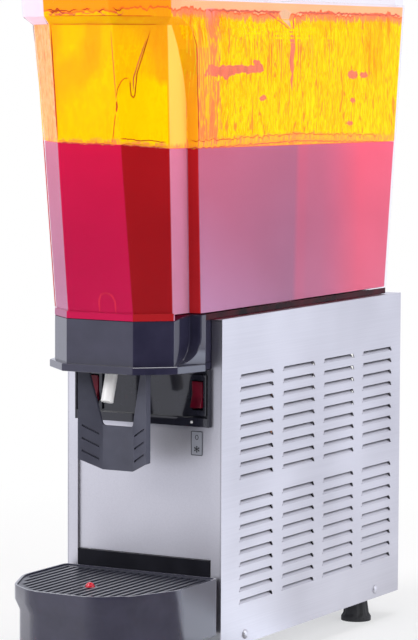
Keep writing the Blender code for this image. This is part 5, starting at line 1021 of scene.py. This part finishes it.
def buildJuiceEdges():
    inset, noseInset = ridgeSet["inset"], ridgeSet["noseInset"]
    shapes = {name: bmesh.new() for name in juiceTones}
    layTides(shapes, inset)
    for name, width, narrow, path in notchRuns:
        drip(shapes[name], path, width, inset, narrow)
    laySpots(shapes["salmonSpots"], inset)
    for name, width, path in noseRuns:
        drip(shapes[name], path, width, noseInset)
    for height in (0.65, 0.6578):
        wavyRidge(shapes["deepDrips"], -0.032, 0.08, height, 0.0002, 0.02, 0.00035, noseInset, height * 50)
    fluteRun = [(alongOf(z, 3) - 0.0012, z) for z in (0.644, 0.63, 0.6, 0.57, 0.538)]
    drip(shapes["deepDrips"], fluteRun, 0.0006, noseInset)
    laySideRuns(shapes, inset)
    # the tap's well behind the nose
    drip(shapes["tapWellGlow"], wellOutline, 0.001, inset)
    for name, (tone, paintedGlow) in juiceTones.items():
        made = finishPiece(name, shapes[name], plainJuice(name, tone, paintedGlow), "bowl", smooth=50)


buildJuiceEdges()
print("drips laid")


# collar: black skirt that carries the nose down to a lip, its flute swept forward
collarSet = {"bottom": 0.31, "lipTop": 0.318, "lip": 0.005, "wall": 0.003, "rampTop": 0.345, "back": 0.022,
             "neck": 0.0772, "sweep": 0.93, "recess": 0.0027, "soft": 0.0006, "levels": 14}


def collarOutline(ramp, lip):
    c = collarSet
    flat, corner, inner, outer = bowlHalf(bowlSet["floor"])[:4]
    foot = (corner[0] + c["lip"], corner[1] - c["lip"] / 3)
    sweptInner = mixPoints(inner, corner, ramp * c["sweep"])
    sweptOuter = mixPoints(outer, foot if lip else corner, ramp * c["sweep"])
    if lip:
        flat = (flat[0] + c["lip"] / 2, flat[1] - c["lip"])
        corner = foot
        sweptInner = mixPoints(outer, foot, (1 + c["sweep"]) / 2)
    back = behind(-c["back"])
    return bothSides([flat, corner, sweptInner, sweptOuter, (bowlSet["side"], back), (c["neck"], back),
                      (c["neck"], behind(c["recess"]))])


def makeCollar():
    c = collarSet
    shape = bmesh.new()
    rings = []

    def level(height, ramp, lip, inset, radii=(0.001, 0.0012, 0.0008, 0.001, 0.0008, 0.0003, 0.0003)):
        outline = moveOut(collarOutline(ramp, lip), -inset)
        rings.append(ringEdges(shape, roundCorners(outline, list(radii) + list(radii)[::-1], 3), height))

    soft = c["soft"]
    level(c["bottom"], 1, True, soft)
    level(c["bottom"] + soft, 1, True, 0)
    level(c["lipTop"] - 2 * soft, 1, True, 0)
    level(c["lipTop"] - soft, 1, True, soft)
    for k in range(c["levels"] + 1):
        level(c["lipTop"] + (c["rampTop"] - c["lipTop"]) * (1 - math.cos(k / c["levels"] * math.pi / 2)),
              1 - math.sin(k / c["levels"] * math.pi / 2), False, 0)
    top = bowlSet["floor"] - 0.0003
    level(top - soft, 0, False, 0)
    level(top, 0, False, soft)
    level(top, 0, False, c["wall"])
    level(c["bottom"], 0, False, c["wall"])
    skinRings(shape, rings + rings[:1])
    for vert in shape.verts:
        if vert.co.z > top - 2 * soft and vert.co.y < behind(-bowlSet["cornerFront"] + bowlSet["noseRadius"]):
            vert.co.z += apronSet["low"] - 0.0002 - top
    finishPiece("collarSkirt", shape, collarBlack, "cabinet", ("bowl_collar",), smooth=25)


makeCollar()


# softened copies of the pressed and moulded pieces: the edge's width, and a finish of their own for three
softSet = {"console": 0.0004, "tray_bracket": 0.0005, "drip_tray": 0.0007, "tap_lever": 0.0006,
           "left_switch_bezel": 0.0002, "right_switch_bezel": 0.0002, "spout": 0.0004, "tap_body": 0.0003,
           "top_deck": 0.0004, "lid": 0.0006, "cord_gland": 0.0004}
ownFinish = {"drip_tray": collarBlack, "tray_bracket": matBlack, "tap_lever": leverGrey}
for nodeName, width in softSet.items():
    smooth = 18 if nodeName == "drip_tray" else 32
    softCopy(nodeName + "Soft", nodeName, width, material=ownFinish.get(nodeName), smooth=smooth)
print("collar and softened pieces made")


# switch label: a ring over a snowflake
labelSet = {"x": (0.0532, 0.0669), "z": (0.222, 0.247), "back": 0.003, "thick": 0.0004, "corner": 0.0012,
            "margin": 0.0006, "ring": 0.0022, "ringHeight": 0.2405, "ringSquash": 0.75, "ringSteps": 20,
            "flake": 0.0034, "flakeHeight": 0.2285, "line": 0.00042, "ink": 0.00012}


def flatStrip(shape, first, second, half, y, thick):
    way = (Vector(second) - Vector(first)).normalized()
    side = Vector((-way.y, way.x)) * half
    corners = [Vector(first) + side, Vector(second) + side, Vector(second) - side, Vector(first) - side]
    plate(shape, [(c.x, c.y) for c in corners], y, thick)


def plate(shape, outline, y, thick):
    near = [shape.verts.new((x, y - thick, z)) for x, z in outline]
    far = [shape.verts.new((x, y, z)) for x, z in outline]
    shape.faces.new(near)
    shape.faces.new(far)
    for i in range(len(outline)):
        shape.faces.new((near[i - 1], near[i], far[i], far[i - 1]))


def labelOutline(margin):
    (x0, x1), (z0, z1) = labelSet["x"], labelSet["z"]
    x0, x1, z0, z1 = x0 + margin, x1 - margin, z0 + margin, z1 - margin
    return roundCorners([(x0, z0), (x1, z0), (x1, z1), (x0, z1)], [labelSet["corner"]] * 4, 4)


def makeLabel():
    s = labelSet
    body = bmesh.new()
    plate(body, labelOutline(0), behind(s["back"]), s["thick"])
    grey = moulded("labelGrey", (0.27, 0.28, 0.33), (0.33, 0.34, 0.4), (0.3, 0.4), 0.02)
    finishPiece("switchLabel", body, grey, "cabinet", smooth=40)
    ink = bmesh.new()
    top = behind(s["back"]) - s["thick"]
    middle = sum(s["x"]) / 2
    turns = [k * math.tau / s["ringSteps"] for k in range(s["ringSteps"])]
    wide = s["ring"] * s["ringSquash"]
    circle = [(middle + wide * math.cos(turn), s["ringHeight"] + s["ring"] * math.sin(turn))
              for turn in turns]
    for loop in (labelOutline(s["margin"]), circle):
        for i in range(len(loop)):
            if (Vector(loop[i]) - Vector(loop[i - 1])).length > 1e-5:
                flatStrip(ink, loop[i - 1], loop[i], s["line"] * 0.8, top, s["ink"])
    centre = Vector((middle, s["flakeHeight"]))
    for k in range(3):
        angle = math.pi / 6 + k * math.pi / 3
        reach = Vector((math.cos(angle), math.sin(angle))) * s["flake"]
        flatStrip(ink, centre - reach, centre + reach, s["line"], top, s["ink"] + 0.00002 * k)
        for end in (-1, 1):
            root = centre + reach * 0.55 * end
            for turn in (-0.7, 0.7):
                tip = root + Matrix.Rotation(turn, 2) @ (reach * 0.35 * end)
                flatStrip(ink, root, tip, s["line"] * 0.7, top, 0.0001)
    finishPiece("labelMarks", ink, finishes["black_enamel"], "cabinet", smooth=40)


# cheeks: the console's turned-out ends
cheekSet = {"x": (0.0765, 0.078), "front": 0.0052, "z": (0.252, 0.3095)}


def makeCheeks():
    s = cheekSet
    (x0, x1), (z0, z1) = s["x"], s["z"]
    for name, side in (("leftCheek", -1), ("rightCheek", 1)):
        body = bmesh.new()
        corners = ((x0, z0), (x1, z0), (x1, z1), (x0, z1))
        plate(body, [(side * x, z) for x, z in corners], behind(0.0), s["front"])
        made = finishPiece(name, body, finishes["dark_grey_plastic"], "cabinet", smooth=40)


# dark frame in the gap between the bowl and the cabinet's top: painted shade, tinted maroon with the drink's
# red
gapShadeSet = {"low": 0.3606, "high": 0.3667, "inset": 0.0012, "thick": 0.001, "start": -0.02}


def makeGapShade():
    s = gapShadeSet
    shape = bmesh.new()
    y0, y1 = behind(s["start"]), behind(bowlSet["rear"] - s["inset"])
    outer, inner = bowlSet["side"] - s["inset"], bowlSet["side"] - s["inset"] - s["thick"]
    track = [(outer, y0), (outer, y1), (-outer, y1), (-outer, y0), (-inner, y0), (-inner, y1 - s["thick"]),
             (inner, y1 - s["thick"]), (inner, y0)]
    low = [shape.verts.new((x, y, s["low"])) for x, y in track]
    high = [shape.verts.new((x, y, s["high"])) for x, y in track]
    for i in range(8):
        shape.faces.new((low[i - 1], low[i], high[i], high[i - 1]))
    for a, b, c, d in ((0, 1, 6, 7), (1, 2, 5, 6), (2, 3, 4, 5)):
        shape.faces.new([low[i] for i in (d, c, b, a)])
        shape.faces.new([high[i] for i in (a, b, c, d)])
    # dark maroon: painted shade in the gap with the drink's red in it
    maroon = moulded("gapShadeMaroon", (0.006, 0.001, 0.003), (0.07, 0.004, 0.012), (0.1, 0.18), 0.03,
                     Specular_IOR_Level=0.06)
    finishPiece("gapShadeFrame", shape, maroon, "cabinet", smooth=30)


makeGapShade()
makeCheeks()
makeLabel()
rockerRed = moulded("rockerRed", (0.02, 0.001, 0.004), (0.16, 0.003, 0.018), (0.16, 0.26), 0.03,
                    Specular_IOR_Level=0.25)
floatRed = moulded("floatRed", (0.68, 0.012, 0.03), (0.8, 0.02, 0.045), (0.14, 0.22), 0.03, Coat_Weight=0.3)
setFinish(nodes["tray_float"], floatRed)
for side in ("left", "right"):
    softCopy(side + "RockerSoft", side + "_rocker", 0.0008, 3, rockerRed)
print("label, float and rockers made")
